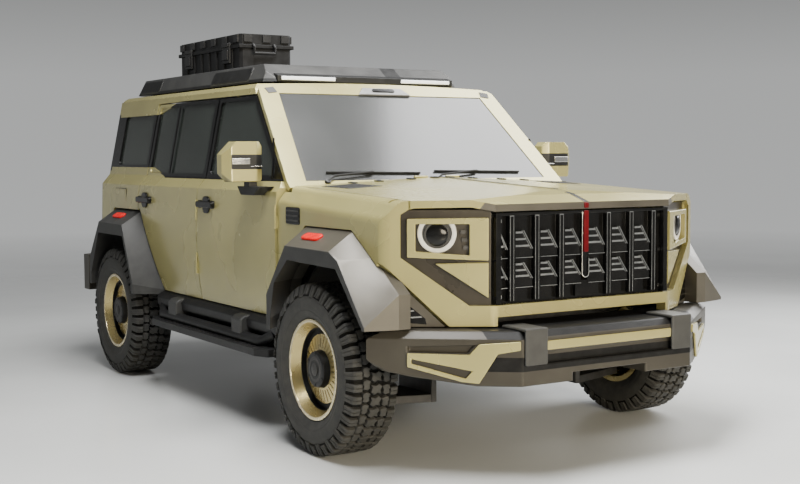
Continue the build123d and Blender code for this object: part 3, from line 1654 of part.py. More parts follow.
with BuildPart() as steering_wheel:
    column = Plane(origin=WHEEL_PIVOT, z_dir=(0, cos(radians(COLUMN_TILT)), sin(radians(COLUMN_TILT))))
    with BuildSketch(column):
        Circle(48)
        Rectangle(340, 34)
    extrude(amount=22)
    with BuildSketch(column.offset(11)):
        Circle(185)
        Circle(168, mode=Mode.SUBTRACT)
    extrude(amount=11, both=True)
write(steering_wheel, "steering_wheel")

with BuildPart() as column_part:
    pivot = Vector(*WHEEL_PIVOT)
    direction = Vector(0, -cos(radians(COLUMN_TILT)), -sin(radians(COLUMN_TILT)))
    rod(tuple(pivot + direction * 0.5), tuple(pivot + direction * 190), 30)
    side_prism(
        [
            (behind(575 + GLASS_CLEAR), 900),
            (behind(575 + GLASS_CLEAR), 1225),
            (behind(760), 1225),
            (behind(840), 1150),
            (behind(820), 1020),
            (behind(720), 900),
        ],
        -740,
        740,
        Mode.SUBTRACT,
    )
write(column_part, "steering_column")


def seat(x_mid, width, y):
    """A seat as a cushion and a leaning backrest."""
    side_prism(
        [
            (y, FLOOR_Z + FLOOR_THICK + 20),
            (y - 20, 930),
            (y + 500, 900),
            (y + 620, 1480),
            (y + 730, 1480),
            (y + 620, FLOOR_Z + FLOOR_THICK + 20),
        ],
        x_mid - width / 2,
        x_mid + width / 2,
        radius=16,
    )
    block(
        (x_mid - width / 2 + 60, x_mid + width / 2 - 60),
        (y + 60, y + 560),
        (FLOOR_Z + FLOOR_THICK, FLOOR_Z + FLOOR_THICK + 40),
    )


with BuildPart() as front_seats:
    for side in SIDES.values():
        seat(side * 370, 500, behind(1080))
write(front_seats, "front_seats")

with BuildPart() as rear_seat:
    side_prism(
        [
            (REAR_AXLE - 790, FLOOR_Z + FLOOR_THICK + GLASS_CLEAR),
            (REAR_AXLE - 810, 920),
            (REAR_AXLE - 450, 900),
            (REAR_AXLE - 330, 1420),
            (REAR_AXLE - 230, 1420),
            (REAR_AXLE - 320, FLOOR_Z + 157),
            (REAR_AXLE - 606, FLOOR_Z + 157),
            (REAR_AXLE - 606, FLOOR_Z + FLOOR_THICK + GLASS_CLEAR),
        ],
        -540,
        540,
        radius=12,
    )
write(rear_seat, "rear_seat")


# Mirrors on the front doors: a wide head on a neck and a flat foot that follows the door

MIRROR_Z = (1286, 1496)
MIRROR_IN_X = 931
MIRROR_OUT_X = 1155
MIRROR_U = 735
MIRROR_DEPTH = 96
MIRROR_FOOT_Z = (1217, 1262)

for side_name, side in SIDES.items():
    mirror_y = behind(MIRROR_U)
    low_z, top_z = MIRROR_Z
    with BuildPart() as door_face:
        side_wall(side, behind(FRONT_DOOR_START), behind(FRONT_DOOR_START) + 500)
    with BuildPart() as mirror_part:
        side_prism(
            [
                (mirror_y - 112, MIRROR_FOOT_Z[1]),
                (mirror_y - 40, MIRROR_FOOT_Z[0]),
                (mirror_y + 116, MIRROR_FOOT_Z[0]),
                (mirror_y + 160, MIRROR_FOOT_Z[1]),
            ],
            side * (MIRROR_IN_X - 30),
            side * (MIRROR_IN_X + 84),
        )
        with Locations((side * GLASS_CLEAR, 0, 0)):
            add(door_face.part, mode=Mode.SUBTRACT)
        block(
            sorted((side * (MIRROR_IN_X + 34), side * (MIRROR_IN_X + 84))),
            (mirror_y + 12, mirror_y + 72),
            (MIRROR_FOOT_Z[0] + 8, low_z + 8),
        )
        front_prism(
            [
                (side * MIRROR_IN_X, low_z + 12),
                (side * (MIRROR_IN_X + 14), low_z),
                (side * (MIRROR_OUT_X - 44), low_z),
                (side * MIRROR_OUT_X, low_z + 42),
                (side * MIRROR_OUT_X, top_z - 66),
                (side * (MIRROR_OUT_X - 66), top_z),
                (side * (MIRROR_IN_X + 22), top_z),
                (side * MIRROR_IN_X, top_z - 24),
            ],
            mirror_y,
            mirror_y + MIRROR_DEPTH,
        )
        for x, step, depth in ((MIRROR_IN_X, 40, 26), (MIRROR_OUT_X, -40, 38)):
            plan_prism(
                [
                    (side * x, mirror_y - 1),
                    (side * x, mirror_y + depth),
                    (side * (x + step), mirror_y - 1),
                ],
                low_z - 10,
                top_z + 10,
                Mode.SUBTRACT,
            )
    write(mirror_part, f"mirror_{side_name}")
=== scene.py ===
"""Looks of a boxy five-door off-road vehicle: finishes, tyres, seats, trim, light and camera.

Metres, in the part's own frame: +Z is up, the nose points to -Y and +X is the vehicle's left side.
"""

import fnmatch
import math

import bmesh
import bpy
from mathutils import Matrix, Vector
from mathutils.bvhtree import BVHTree


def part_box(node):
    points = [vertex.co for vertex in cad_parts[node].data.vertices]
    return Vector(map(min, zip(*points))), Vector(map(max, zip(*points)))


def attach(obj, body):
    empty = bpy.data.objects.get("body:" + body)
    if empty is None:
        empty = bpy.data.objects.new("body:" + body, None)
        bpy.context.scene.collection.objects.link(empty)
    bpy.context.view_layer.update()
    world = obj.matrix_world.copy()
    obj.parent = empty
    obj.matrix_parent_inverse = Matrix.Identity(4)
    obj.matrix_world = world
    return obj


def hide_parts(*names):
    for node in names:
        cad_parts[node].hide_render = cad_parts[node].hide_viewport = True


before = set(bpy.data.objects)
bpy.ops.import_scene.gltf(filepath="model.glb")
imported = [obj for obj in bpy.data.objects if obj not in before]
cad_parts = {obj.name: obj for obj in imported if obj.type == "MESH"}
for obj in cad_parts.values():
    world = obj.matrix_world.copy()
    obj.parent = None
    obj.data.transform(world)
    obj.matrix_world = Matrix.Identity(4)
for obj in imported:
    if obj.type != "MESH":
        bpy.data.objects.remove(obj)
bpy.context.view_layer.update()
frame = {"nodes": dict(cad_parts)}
nodes = frame["nodes"]

SIDES = {"right": -1, "left": 1}
BOTH = tuple(SIDES.values())
FRONT_AXLE, REAR_AXLE, TAIL = -1.335, 1.415, 1.95
WHEEL_X, WHEEL_Z = 0.935, 0.41
NOSE_Y = -2.077
SPARE = Vector((0, 2.1275, 1.165))


def behind(offset):
    """The station that lies this far behind the front axle."""
    return FRONT_AXLE + offset


# Finishes

GLOSS_DRIFT = 0.04
COAT_ROUGHNESS = 0.12
GRAIN_DEPTH = 0.002


class Shade:
    """One node material, built from principled layers and masks in the object's own coordinates."""

    def __init__(self, name):
        self.material = bpy.data.materials.new(name)
        self.material.use_nodes = True
        self.tree = self.material.node_tree
        self.tree.nodes.clear()
        where = self.tree.nodes.new("ShaderNodeTexCoord")
        self.place = where.outputs["Object"]
        self.facing = where.outputs["Normal"]
        self.share = where.outputs["Generated"]

    def node(self, kind, sockets=(), **settings):
        """Adds a node; sockets maps an input's name or number to a value or to another node's output."""
        made = self.tree.nodes.new("ShaderNode" + kind)
        for key, value in settings.items():
            setattr(made, key, value)
        for key, value in dict(sockets).items():
            if isinstance(value, bpy.types.NodeSocket):
                self.tree.links.new(value, made.inputs[key])
            else:
                made.inputs[key].default_value = value
        return made

    def calc(self, operation, first, second):
        return self.node("Math", {0: first, 1: second}, operation=operation).outputs[0]

    def axis(self, vector, index):
        return self.node("SeparateXYZ", {0: vector}).outputs[index]

    def ramp(self, value, low, high, at_low, at_high):
        names = ("Value", "From Min", "From Max", "To Min", "To Max")
        return self.node("MapRange", zip(names, (value, low, high, at_low, at_high))).outputs[0]

    def above(self, value, limit):
        return self.calc("GREATER_THAN", value, limit)

    def below(self, value, limit):
        return self.calc("LESS_THAN", value, limit)

    def times(self, first, second):
        return self.calc("MULTIPLY", first, second)

    def either(self, first, second):
        return self.calc("MAXIMUM", first, second)

    def between(self, value, low, high):
        return self.times(self.above(value, low), self.below(value, high))

    def at(self, index):
        return self.axis(self.place, index)

    def looks(self, index):
        return self.axis(self.facing, index)

    def reach(self):
        """The distance from the vehicle's middle plane."""
        return self.calc("ABSOLUTE", self.at(0), 0.0)

    def noise(self, scale, detail=3.0):
        sockets = {"Vector": self.place, "Scale": scale, "Detail": detail}
        return self.node("TexNoise", sockets).outputs["Fac"]

    def layer(self, dark, light, rough, metal=0.0, coat=0.0, grain=6.0, bump=None, glow=0.0, shine=0.5):
        """A finish that drifts between two shades; bump gives its relief's strength and grain."""
        cloud = self.noise(grain)
        tint = self.node("ValToRGB", {"Fac": cloud})
        for stop, place, shade in zip(tint.color_ramp.elements, (0.32, 0.68), (dark, light)):
            stop.position = place
            stop.color = (*shade, 1)
        sockets = {
            "Base Color": tint.outputs["Color"],
            "Roughness": self.ramp(cloud, 0.3, 0.7, max(rough - GLOSS_DRIFT, 0.01), rough + GLOSS_DRIFT),
            "Metallic": metal,
            "Coat Weight": coat,
            "Coat Roughness": COAT_ROUGHNESS,
            "Specular IOR Level": shine,
        }
        if bump:
            strength, fine = bump
            relief = {"Height": self.noise(fine, 4.0), "Strength": strength, "Distance": GRAIN_DEPTH}
            sockets["Normal"] = self.node("Bump", relief).outputs[0]
        if glow:
            sockets["Emission Color"] = tint.outputs["Color"]
            sockets["Emission Strength"] = glow
        return self.node("BsdfPrincipled", sockets).outputs[0]

    def mix(self, mask, under, over):
        return self.node("MixShader", {0: mask, 1: under, 2: over}).outputs[0]

    def two(self, mask, under, over):
        """The material of two layers, the second where the mask is."""
        return self.done(self.mix(mask, self.layer(**under), self.layer(**over)))

    def done(self, shader):
        self.node("OutputMaterial", {"Surface": shader})
        return self.material


BAND_LOW_Z, BAND_HIGH_Z = 1.288, 1.762
GATE_BAND_LOW_Z, GATE_BAND_HIGH_Z = 1.262, 1.78
RIM_SPAN = 0.482
STRAP_X = 0.62


def look(dark, light, rough, **more):
    """The settings of a layer that several finishes share."""
    return dict(dark=dark, light=light, rough=rough, **more)


PAINT = look((0.335, 0.3, 0.118), (0.37, 0.332, 0.133), 0.26, metal=0.3, coat=0.35, grain=2.2)
BRONZE = look(
    (0.07, 0.064, 0.052), (0.088, 0.081, 0.066), 0.42, metal=0.35, grain=5, bump=(0.08, 700), shine=0.35
)
BUMPER = look(
    (0.036, 0.032, 0.025), (0.046, 0.042, 0.033), 0.42, metal=0.1, grain=5, bump=(0.08, 700), shine=0.25
)
RECESS = look((0.046, 0.04, 0.031), (0.058, 0.051, 0.04), 0.3, metal=0.5, grain=6, bump=(0.05, 700))
SMOKE = look((0.03, 0.03, 0.029), (0.042, 0.042, 0.04), 0.5, grain=14, bump=(0.15, 900), shine=0.35)
BLACK = look((0.008, 0.008, 0.008), (0.014, 0.014, 0.014), 0.45, grain=18, bump=(0.12, 900), shine=0.28)
PIANO = look((0.004, 0.004, 0.004), (0.007, 0.007, 0.007), 0.16, grain=9, shine=0.24)
CHROME = look((0.5, 0.49, 0.465), (0.6, 0.59, 0.56), 0.18, metal=1.0, grain=20)
IRON = look((0.04, 0.039, 0.037), (0.065, 0.063, 0.06), 0.55, metal=0.5, grain=22, bump=(0.3, 160))


def plain(name, *shades, **more):
    """A material of one layer."""
    shade = Shade(name)
    return shade.done(shade.layer(*shades, **more))


def banded_paint(name, low_z, high_z, sill_z=0.0):
    """Body paint with a dark band along the windows, which narrows behind the rear doors, and a dark sill."""
    shade = Shade(name)
    y, z = shade.at(1), shade.at(2)
    floor = shade.ramp(y, 0.87, 1.127, low_z, low_z + 0.062)
    ceiling = shade.ramp(y, 0.87, 1.18, high_z, high_z - 0.072)
    wall = shade.mix(shade.between(z, floor, ceiling), shade.layer(**PAINT), shade.layer(**PIANO))
    if sill_z:
        wall = shade.mix(shade.below(z, sill_z), wall, shade.layer(**BLACK))
    return shade.done(wall)


def grille_finish():
    """Glossy black across the grille, dark bronze in the recess around the lamps."""
    shade = Shade("grille_finish")
    recess = shade.above(shade.reach(), 0.52)
    return shade.two(recess, PIANO, RECESS)


def bumper_paint_and_ledge_shade():
    """Bronze-grey satin with a dark band under the trim between the straps, and black on the ledge above it
    as painted shade under the nose.
    """
    shade = Shade("bumper_paint_and_ledge_shade")
    x, z = shade.at(0), shade.at(2)
    band = shade.times(shade.between(z, 0.478, 0.541), shade.between(x, -STRAP_X, STRAP_X))
    band = shade.times(band, shade.below(shade.looks(1), -0.5))
    # painted shade: the up-facing top between the straps is black, as the shade beneath the nose
    ledge = shade.above(shade.looks(2), 0.6)
    dark = shade.either(band, shade.times(ledge, shade.between(x, -STRAP_X, STRAP_X)))
    return shade.two(dark, BUMPER, dict(BLACK, shine=0.1))


def hood_paint():
    """Body paint with the front lip left dark, to its full height only between the lamps."""
    shade = Shade("hood_paint")
    y, z = shade.at(1), shade.at(2)
    ahead = shade.below(shade.looks(1), -0.55)
    lip = shade.times(ahead, shade.below(y, -1.7))
    top = shade.ramp(shade.reach(), 0.5, 0.58, 1.3, 1.18)
    lip = shade.times(lip, shade.below(z, top))
    return shade.two(lip, PAINT, BRONZE)


def mirror_paint():
    """Body paint on the cap, dark on the arm and in the slot across the cap, bright on the glass."""
    shade = Shade("mirror_paint")
    z = shade.at(2)
    facing = shade.looks(1)
    slot = shade.times(shade.between(z, 1.352, 1.428), shade.below(facing, -0.3))
    slot = shade.times(slot, shade.below(shade.reach(), 1.115))
    dark = shade.either(slot, shade.below(z, 1.287))
    cap = shade.mix(dark, shade.layer(**PAINT), shade.layer(**BLACK))
    return shade.done(shade.mix(shade.above(facing, 0.9), cap, shade.layer(**CHROME)))


def flare_finish():
    """Bronze-grey satin on the front flares, charcoal on the outer lip, and charcoal on the rear flares as
    painted shade.
    """
    shade = Shade("flare_finish")
    lip = shade.above(shade.reach(), 1.0835)
    # painted shade: the rear half of each flare takes the charcoal; the lip is charcoal all round
    dark = shade.either(lip, shade.above(shade.at(1), 0.0))
    return shade.two(dark, BRONZE, dict(SMOKE, shine=0.2))


RIM = look((0.43, 0.345, 0.145), (0.47, 0.378, 0.162), 0.27, metal=0.8, coat=0.3, grain=8)


def rim_paint_and_gap_shade(name, across):
    """Gold dish and disc with black painted shade in the gap ring between them and a dark hub cap; across is
    the axle's axis.
    """
    shade = Shade(name)
    shares = [shade.calc("SUBTRACT", shade.axis(shade.share, n), 0.5) for n in (2, 1 - across)]
    spans = [shade.times(share, RIM_SPAN) for share in shares]
    squares = [shade.times(span, span) for span in spans]
    radius = shade.calc("SQRT", shade.calc("ADD", *squares), 0.0)
    # painted shade: the gap ring between dish and disc is black
    ring = shade.between(radius, 0.1675, 0.1975)
    dark = shade.either(ring, shade.below(radius, 0.0915))
    return shade.two(dark, RIM, BLACK)


def glass(name, clear, *shades, **more):
    """Glass with a reflecting layer over a share of clear view."""
    shade = Shade(name)
    tint = shade.node("ValToRGB", {"Fac": shade.noise(2.0)})
    for stop, level in zip(tint.color_ramp.elements, (0.3, 0.36)):
        stop.color = (level, level, level * 0.97, 1)
    through = shade.node("BsdfTransparent", {"Color": tint.outputs["Color"]}).outputs[0]
    share = shade.ramp(shade.noise(1.5), 0.3, 0.7, clear - 0.03, clear + 0.03)
    return shade.done(shade.mix(share, shade.layer(*shades, **more), through))


def tray_finish():
    """Grey satin with a dark middle band on the sloping front and a dark lower edge."""
    shade = Shade("tray_finish")
    x, y, z = (shade.at(n) for n in range(3))
    middle = shade.times(shade.between(x, 0.155, 0.262), shade.below(y, behind(1.44)))
    dark = shade.either(middle, shade.below(z, 1.862))
    grey = shade.layer(
        (0.056, 0.056, 0.055), (0.072, 0.072, 0.07), 0.4, metal=0.4, grain=7, bump=(0.06, 800)
    )
    return shade.done(shade.mix(dark, grey, shade.layer(**BLACK)))


paint = plain("paint", **PAINT)
smoke = plain("smoke", **SMOKE)
black = plain("black", **BLACK)
piano = plain("piano", **PIANO)
chrome = plain("chrome", **CHROME)
iron = plain("iron", **IRON)
rubber = plain(
    "rubber", (0.028, 0.028, 0.026), (0.044, 0.043, 0.039), 0.72, grain=26, bump=(0.35, 420), shine=0.3
)
# painted shade: a near-black, duller rubber for the tyre's recesses between the blocks
groove_shade = plain(
    "groove_shade", (0.005, 0.005, 0.005), (0.01, 0.01, 0.009), 0.8, grain=26, bump=(0.35, 420), shine=0.12
)
red_lens = plain(
    "red_lens", (0.44, 0.003, 0.004), (0.58, 0.005, 0.006), 0.2, grain=30, glow=0.4, shine=0.15
)
red_bar = plain("red_bar", (0.075, 0.001, 0.003), (0.11, 0.002, 0.004), 0.16, grain=30, shine=0.3)
white_lens = plain("white_lens", (0.8, 0.82, 0.84), (0.92, 0.93, 0.94), 0.15, grain=30, glow=0.25)
ring_lens = plain("ring_lens", (0.6, 0.58, 0.53), (0.7, 0.68, 0.62), 0.24, grain=30, glow=0.06)
pod_grey = plain("pod_grey", (0.2, 0.2, 0.195), (0.25, 0.25, 0.245), 0.4, metal=0.4, grain=12)
hide = plain("hide", (0.03, 0.027, 0.024), (0.045, 0.041, 0.036), 0.55, grain=12, bump=(0.4, 260))
tinted = glass("tinted", 0.16, (0.026, 0.031, 0.027), (0.042, 0.049, 0.043), 0.1, grain=1.5, shine=0.45)
screen = glass("screen", 0.1, (0.028, 0.029, 0.029), (0.038, 0.04, 0.039), 0.2, coat=0.35, grain=1.2)
lens = glass("lens", 0.35, (0.1, 0.1, 0.1), (0.15, 0.15, 0.15), 0.08, metal=0.3, grain=24)
wall_paint = banded_paint("wall_paint", BAND_LOW_Z, BAND_HIGH_Z)
SILL_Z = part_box("door_front_right")[0][2]
side_paint = banded_paint("side_paint", BAND_LOW_Z, BAND_HIGH_Z, SILL_Z)
gate_paint = banded_paint("gate_paint", GATE_BAND_LOW_Z, GATE_BAND_HIGH_Z)

# degrees between two faces from which the edge between them is rounded
SOLID_CREASE, TRIM_CREASE = 24, 28


def round_edges(made, width, crease):
    bevel = made.modifiers.new("bevel", "BEVEL")
    bevel.width = width
    bevel.segments = 2
    bevel.angle_limit = math.radians(crease)
    made.modifiers.new("normals", "WEIGHTED_NORMAL").keep_sharp = True


FINISHES = {
    # finish of the solids and how far their edges are rounded
    "body_side_*": (side_paint, 0.004),
    "door_*": (wall_paint, 0.004),
    "tailgate rear_frame": (gate_paint, 0.004),
    "roof_panel front_fenders windscreen_frame front_fascia": (paint, 0.006),
    "lamp_bezels bumper_trim": (paint, 0.004),
    "hood": (hood_paint(), 0.008),
    "mirror_*": (mirror_paint(), 0.012),
    "wheel_flares": (flare_finish(), 0.006),
    "front_bumper": (bumper_paint_and_ledge_shade(), 0.008),
    "rear_bumper": (plain("rear_bumper_satin", **BUMPER), 0.008),
    "bumper_straps": (smoke, 0.006),
    "grille": (grille_finish(), 0.0015),
    "side_steps": (black, 0.005),
    "roof_case": (plain("case_shell", **dict(BLACK, shine=0.12)), 0.008),
    "wheel_liners dashboard steering_column": (black, 0.004),
    "glass_* quarter_glass tailgate_glass": (tinted, 0),
    "windscreen": (screen, 0),
    "headlamps": (lens, 0.002),
    "tail_lamps": (red_lens, 0.005),
    "roof_tray": (tray_finish(), 0.006),
    "rim_*": (rim_paint_and_gap_shade("rim_paint_and_gap_shade", 0), 0.002),
    "spare_rim": (rim_paint_and_gap_shade("spare_rim_paint_and_gap_shade", 1), 0.002),
    "chassis_frame floor_tub front_suspension rear_axle knuckle_* drivetrain engine_block": (iron, 0.003),
    "steering_wheel front_seats rear_seat": (hide, 0),
    "tyre_* spare_tyre": (rubber, 0),
}

for patterns, (finish, edge) in FINISHES.items():
    for name in [name for pattern in patterns.split() for name in fnmatch.filter(nodes, pattern)]:
        node = nodes[name]
        node.data.materials.clear()
        node.data.materials.append(finish)
        if edge:
            weld = node.modifiers.new("weld", "WELD")
            weld.merge_threshold = 1e-5
            round_edges(node, edge, SOLID_CREASE)


# Shapes


class Kit:
    """Collects the faces of one piece."""

    def __init__(self):
        self.bm = bmesh.new()
        self.coat = 0

    def skin(self, loops, closed=False):
        """Joins rings of equal length; closed joins the last ring to the first, else both ends are capped."""
        rings = [[self.bm.verts.new(point) for point in loop] for loop in loops]
        pairs = list(zip(rings, rings[1:])) + ([(rings[-1], rings[0])] if closed else [])
        for near, far in pairs:
            for n in range(len(near)):
                after = (n + 1) % len(near)
                self.bm.faces.new((near[n], near[after], far[after], far[n])).material_index = self.coat
        if not closed:
            self.bm.faces.new(rings[0]).material_index = self.coat
            self.bm.faces.new(rings[-1]).material_index = self.coat
        return self

    def prism(self, points, along):
        points = [Vector(point) for point in points]
        return self.skin([points, [point + Vector(along) for point in points]])

    def box(self, x, y, z):
        """A box from its (low, high) range along each axis."""
        ring = [(x[0], y[0], z[0]), (x[1], y[0], z[0]), (x[1], y[1], z[0]), (x[0], y[1], z[0])]
        return self.prism(ring, (0, 0, z[1] - z[0]))

    def lathe(self, profile, centre, axis, steps=48):
        """Turns (distance along the axis, radius) points about an axis, as one closed ring."""
        turn = Vector((1, 0, 0)).rotation_difference(Vector(axis)).to_matrix()
        loops = []
        for step in range(steps):
            angle = 2 * math.pi * step / steps
            across = Vector((0, math.cos(angle), math.sin(angle)))
            loops.append([Vector(centre) + turn @ (Vector((x, 0, 0)) + across * r) for x, r in profile])
        return self.skin(loops, closed=True)

    def tube(self, path, radius, steps=8):
        """A round bar along a path."""
        path = [Vector(point) for point in path]
        loops = []
        for n, point in enumerate(path):
            ahead = (path[min(n + 1, len(path) - 1)] - path[max(n - 1, 0)]).normalized()
            first = ahead.orthogonal() if n == 0 else first - ahead * first.dot(ahead)
            first.normalize()
            second = ahead.cross(first)
            turns = [2 * math.pi * step / steps for step in range(steps)]
            loops.append([point + (first * math.cos(t) + second * math.sin(t)) * radius for t in turns])
        return self.skin(loops)

    def wall_plate(self, side, x, u, z, outline, depth):
        """A flat plate on a side wall."""
        return self.prism(
            lay((side * x, behind(u), z), (0, 1, 0), (0, 0, 1), outline), (side * depth, 0, 0)
        )

    def end_plate(self, place_at, outline, depth):
        """A flat plate that faces ahead or back."""
        return self.prism(lay(place_at, (1, 0, 0), (0, 0, 1), outline), (0, depth, 0))

    def mesh(self, name, sharp=32):
        bmesh.ops.remove_doubles(self.bm, verts=self.bm.verts, dist=1e-6)
        bmesh.ops.recalc_face_normals(self.bm, faces=self.bm.faces)
        for face in self.bm.faces:
            face.smooth = True
        for edge in self.bm.edges:
            edge.smooth = len(edge.link_faces) == 2 and edge.calc_face_angle(9) < math.radians(sharp)
        made = bpy.data.meshes.new(name)
        self.bm.to_mesh(made)
        self.bm.free()
        return made

    def piece(self, name, material, edge=0.0, body="body", slot="black_plastic"):
        return place(name, self.mesh(name), body, material, slot, edge)


def add(name, data):
    """A new object in the scene."""
    made = bpy.data.objects.new(name, data)
    bpy.context.scene.collection.objects.link(made)
    return made


def place(name, mesh, body, material, slot, edge=0.0, matrix=None):
    """Makes a piece from a mesh and lets it ride on a body."""
    made = add(name, mesh)
    if not mesh.materials:
        mesh.materials.append(material)
    if edge:
        round_edges(made, edge, TRIM_CREASE)
    if matrix:
        made.matrix_world = matrix
    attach(made, body)
    return made


def about(middle, half):
    """The (low, high) range about a middle."""
    return (middle - half, middle + half)


def span(side, near, far):
    """The (low, high) range across one side of the vehicle."""
    return sorted((side * near, side * far))


def lay(origin, across, up, outline):
    """Puts a flat outline into space."""
    return [Vector(origin) + Vector(across) * a + Vector(up) * b for a, b in outline]


def rounded(width, height, radius, steps=4):
    """A rectangle with rounded corners, about its own middle."""
    points = []
    for quarter, (sx, sy) in enumerate(((1, 1), (-1, 1), (-1, -1), (1, -1))):
        for step in range(steps + 1):
            angle = (quarter + step / steps) * math.pi / 2
            x = sx * (width / 2 - radius) + radius * math.cos(angle)
            points.append((x, sy * (height / 2 - radius) + radius * math.sin(angle)))
    return points


# Tyres: a carcass with rows of blocks up to the tread's radius, in the wheel's own frame about X

TREAD_R, GROOVE_R = 0.41, 0.392
FLANK_R = 0.353
BLOCKS = 44
# (distance from the middle, radius) down one half of the carcass
CARCASS = [
    (0.0, GROOVE_R), (0.085, GROOVE_R), (0.106, 0.384), (0.119, 0.368), (0.1285, 0.35), (0.1335, 0.336),
    (0.134, 0.332), (0.1362, 0.322), (0.1368, 0.308), (0.1355, 0.296), (0.1318, 0.286), (0.1322, 0.281),
    (0.1262, 0.266), (0.116, 0.252), (0.115, 0.248), (0.107, 0.2445), (0.1037, 0.241), (0.1037, 0.2285),
]
# a shoulder lug: the section's top and foot, and (turn, shrink) of each slice along it
LUG_TOP = [(0.075, 0.4095), (0.106, 0.4088), (0.1165, 0.402), (0.126, 0.378)]
LUG_FOOT = [(0.1, 0.386), (0.075, 0.392)]
LUG_DEPTHS = (0.362, 0.35)
LUG_SLICES = [
    (-0.32, 0.0035), (-0.27, 0.0), (-0.03, 0.0), (-0.02, 0.005), (0.02, 0.005), (0.03, 0.0), (0.27, 0.0),
    (0.32, 0.0035),
]
# outlines of (distance across, share of the pitch) of the inner blocks
SIDE_BLOCK = [
    (0.036, -0.3), (0.048, -0.42), (0.07, -0.34), (0.066, -0.05), (0.071, 0.05),
    (0.067, 0.34), (0.05, 0.4), (0.031, 0.26), (0.038, 0.0),
]
MIDDLE_BLOCK = [
    (-0.026, -0.4), (-0.004, -0.3), (0.01, -0.44), (0.028, -0.22), (0.021, 0.12),
    (0.029, 0.36), (0.004, 0.28), (-0.012, 0.42), (-0.03, 0.2), (-0.02, -0.1),
]


def on_wheel(x, radius, angle):
    return Vector((x, radius * math.sin(angle), -radius * math.cos(angle)))


def tyre_mesh():
    """One tyre: carcass, shoulder lugs that run down the flanks, and three rows of blocks between them."""
    kit = Kit()
    other = [(-x, r) for x, r in reversed(CARCASS[1:])]
    kit.lathe(CARCASS + other, (0, 0, 0), (1, 0, 0), steps=96)
    for face in kit.bm.faces:
        middle = face.calc_center_median()
        # faces above the flanks take the second, darker rubber as painted shade between the blocks
        face.material_index = 1 if math.hypot(middle.y, middle.z) > FLANK_R else 0
    step = 2 * math.pi / BLOCKS
    for n in range(BLOCKS):
        for side in (-1, 1):
            middle = (n + (0.5 if side > 0 else 0.0)) * step
            deep = LUG_DEPTHS[n % 2]
            section = LUG_TOP + [(0.1345, deep), (0.126, deep)] + LUG_FOOT
            loops = []
            for turn, shrink in LUG_SLICES:
                angle = middle + turn * step
                loops.append([on_wheel(side * (x - shrink * 0.5), r - shrink, angle) for x, r in section])
            kit.skin(loops)
            block_loops(kit, [(side * x, middle + (a + 0.22) * step) for x, a in SIDE_BLOCK])
        block_loops(kit, [(x, (n + 0.3 + a) * step) for x, a in MIDDLE_BLOCK])
    return kit.mesh("tyre", sharp=24)


def block_loops(kit, outline):
    """A tread block on an outline of (distance across, angle) points, with a small chamfer at its top."""
    mid_x = sum(x for x, _ in outline) / len(outline)
    mid_a = sum(a for _, a in outline) / len(outline)
    loops = []
    for radius, grow in ((GROOVE_R - 0.002, 1.06), (TREAD_R - 0.002, 1.0), (TREAD_R, 0.9)):
        loops.append(
            [on_wheel(mid_x + (x - mid_x) * grow, radius, mid_a + (a - mid_a) * grow) for x, a in outline]
        )
    kit.skin(loops)


tyre = tyre_mesh()
tyre.materials.append(rubber)
tyre.materials.append(groove_shade)

HUB = ((0, 0, 0), (1, 0, 0))
# pale gold for a painted highlight on the rim's lip
RIM_LIP_HIGHLIGHT = look((0.58, 0.51, 0.33), (0.66, 0.58, 0.38), 0.24, metal=0.8, grain=20)
badge = Kit()
badge.coat = 1
badge.lathe([(0.094, 0.002), (0.094, 0.03), (0.1015, 0.03), (0.104, 0.025), (0.1045, 0.002)], *HUB, 32)
badge.lathe([(0.096, 0.044), (0.096, 0.062), (0.0995, 0.06), (0.0995, 0.046)], *HUB, 48)
badge.coat = 0
# a ring on the rim's lip in pale gold: a painted highlight
badge.lathe([(0.108, 0.224), (0.108, 0.2405), (0.1135, 0.2405), (0.1145, 0.233), (0.113, 0.2255)], *HUB, 72)
badge = badge.mesh("hub_trim")
badge.materials.append(plain("rim_lip_highlight", **RIM_LIP_HIGHLIGHT))
badge.materials.append(iron)
NUT = [(0.092, 0.001), (0.092, 0.0085), (0.1005, 0.0085), (0.1005, 0.001)]
NUTS_R = 0.074
STEM_TURN = 2.75
stem = [on_wheel(x, r, STEM_TURN) for x, r in ((0.088, 0.207), (0.104, 0.203), (0.118, 0.194))]
valve = Kit().tube(stem, 0.0045)
for n in range(6):
    valve.lathe(NUT, on_wheel(0, NUTS_R, n * math.pi / 3), (1, 0, 0), 6)
valve = valve.mesh("hub_fittings")
valve.materials.append(black)

WHEELS = {
    # node ending: body, hub centre, turn about Z that points the outer face outwards
    "front_right": ("wheel_front_right", (-WHEEL_X, FRONT_AXLE, WHEEL_Z), 180),
    "front_left": ("wheel_front_left", (WHEEL_X, FRONT_AXLE, WHEEL_Z), 0),
    "rear_right": ("wheel_rear_right", (-WHEEL_X, REAR_AXLE, WHEEL_Z), 180),
    "rear_left": ("wheel_rear_left", (WHEEL_X, REAR_AXLE, WHEEL_Z), 0),
    "spare": ("tailgate", SPARE, 90),
}
for name, (body, hub, turn) in WHEELS.items():
    matrix = Matrix.Translation(hub) @ Matrix.Rotation(math.radians(turn), 4, "Z")
    ring = place(f"tread_{name}", tyre, body, rubber, "tyre_rubber", matrix=matrix)
    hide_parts("spare_tyre" if name == "spare" else f"tyre_{name}")
    place(f"hub_trim_{name}", badge, body, None, "rim_paint", matrix=matrix)
    place(f"hub_fittings_{name}", valve, body, None, "black_plastic", matrix=matrix)


# Front end: grille lines, light bars, lamps, and the hood's spine, vents and clips

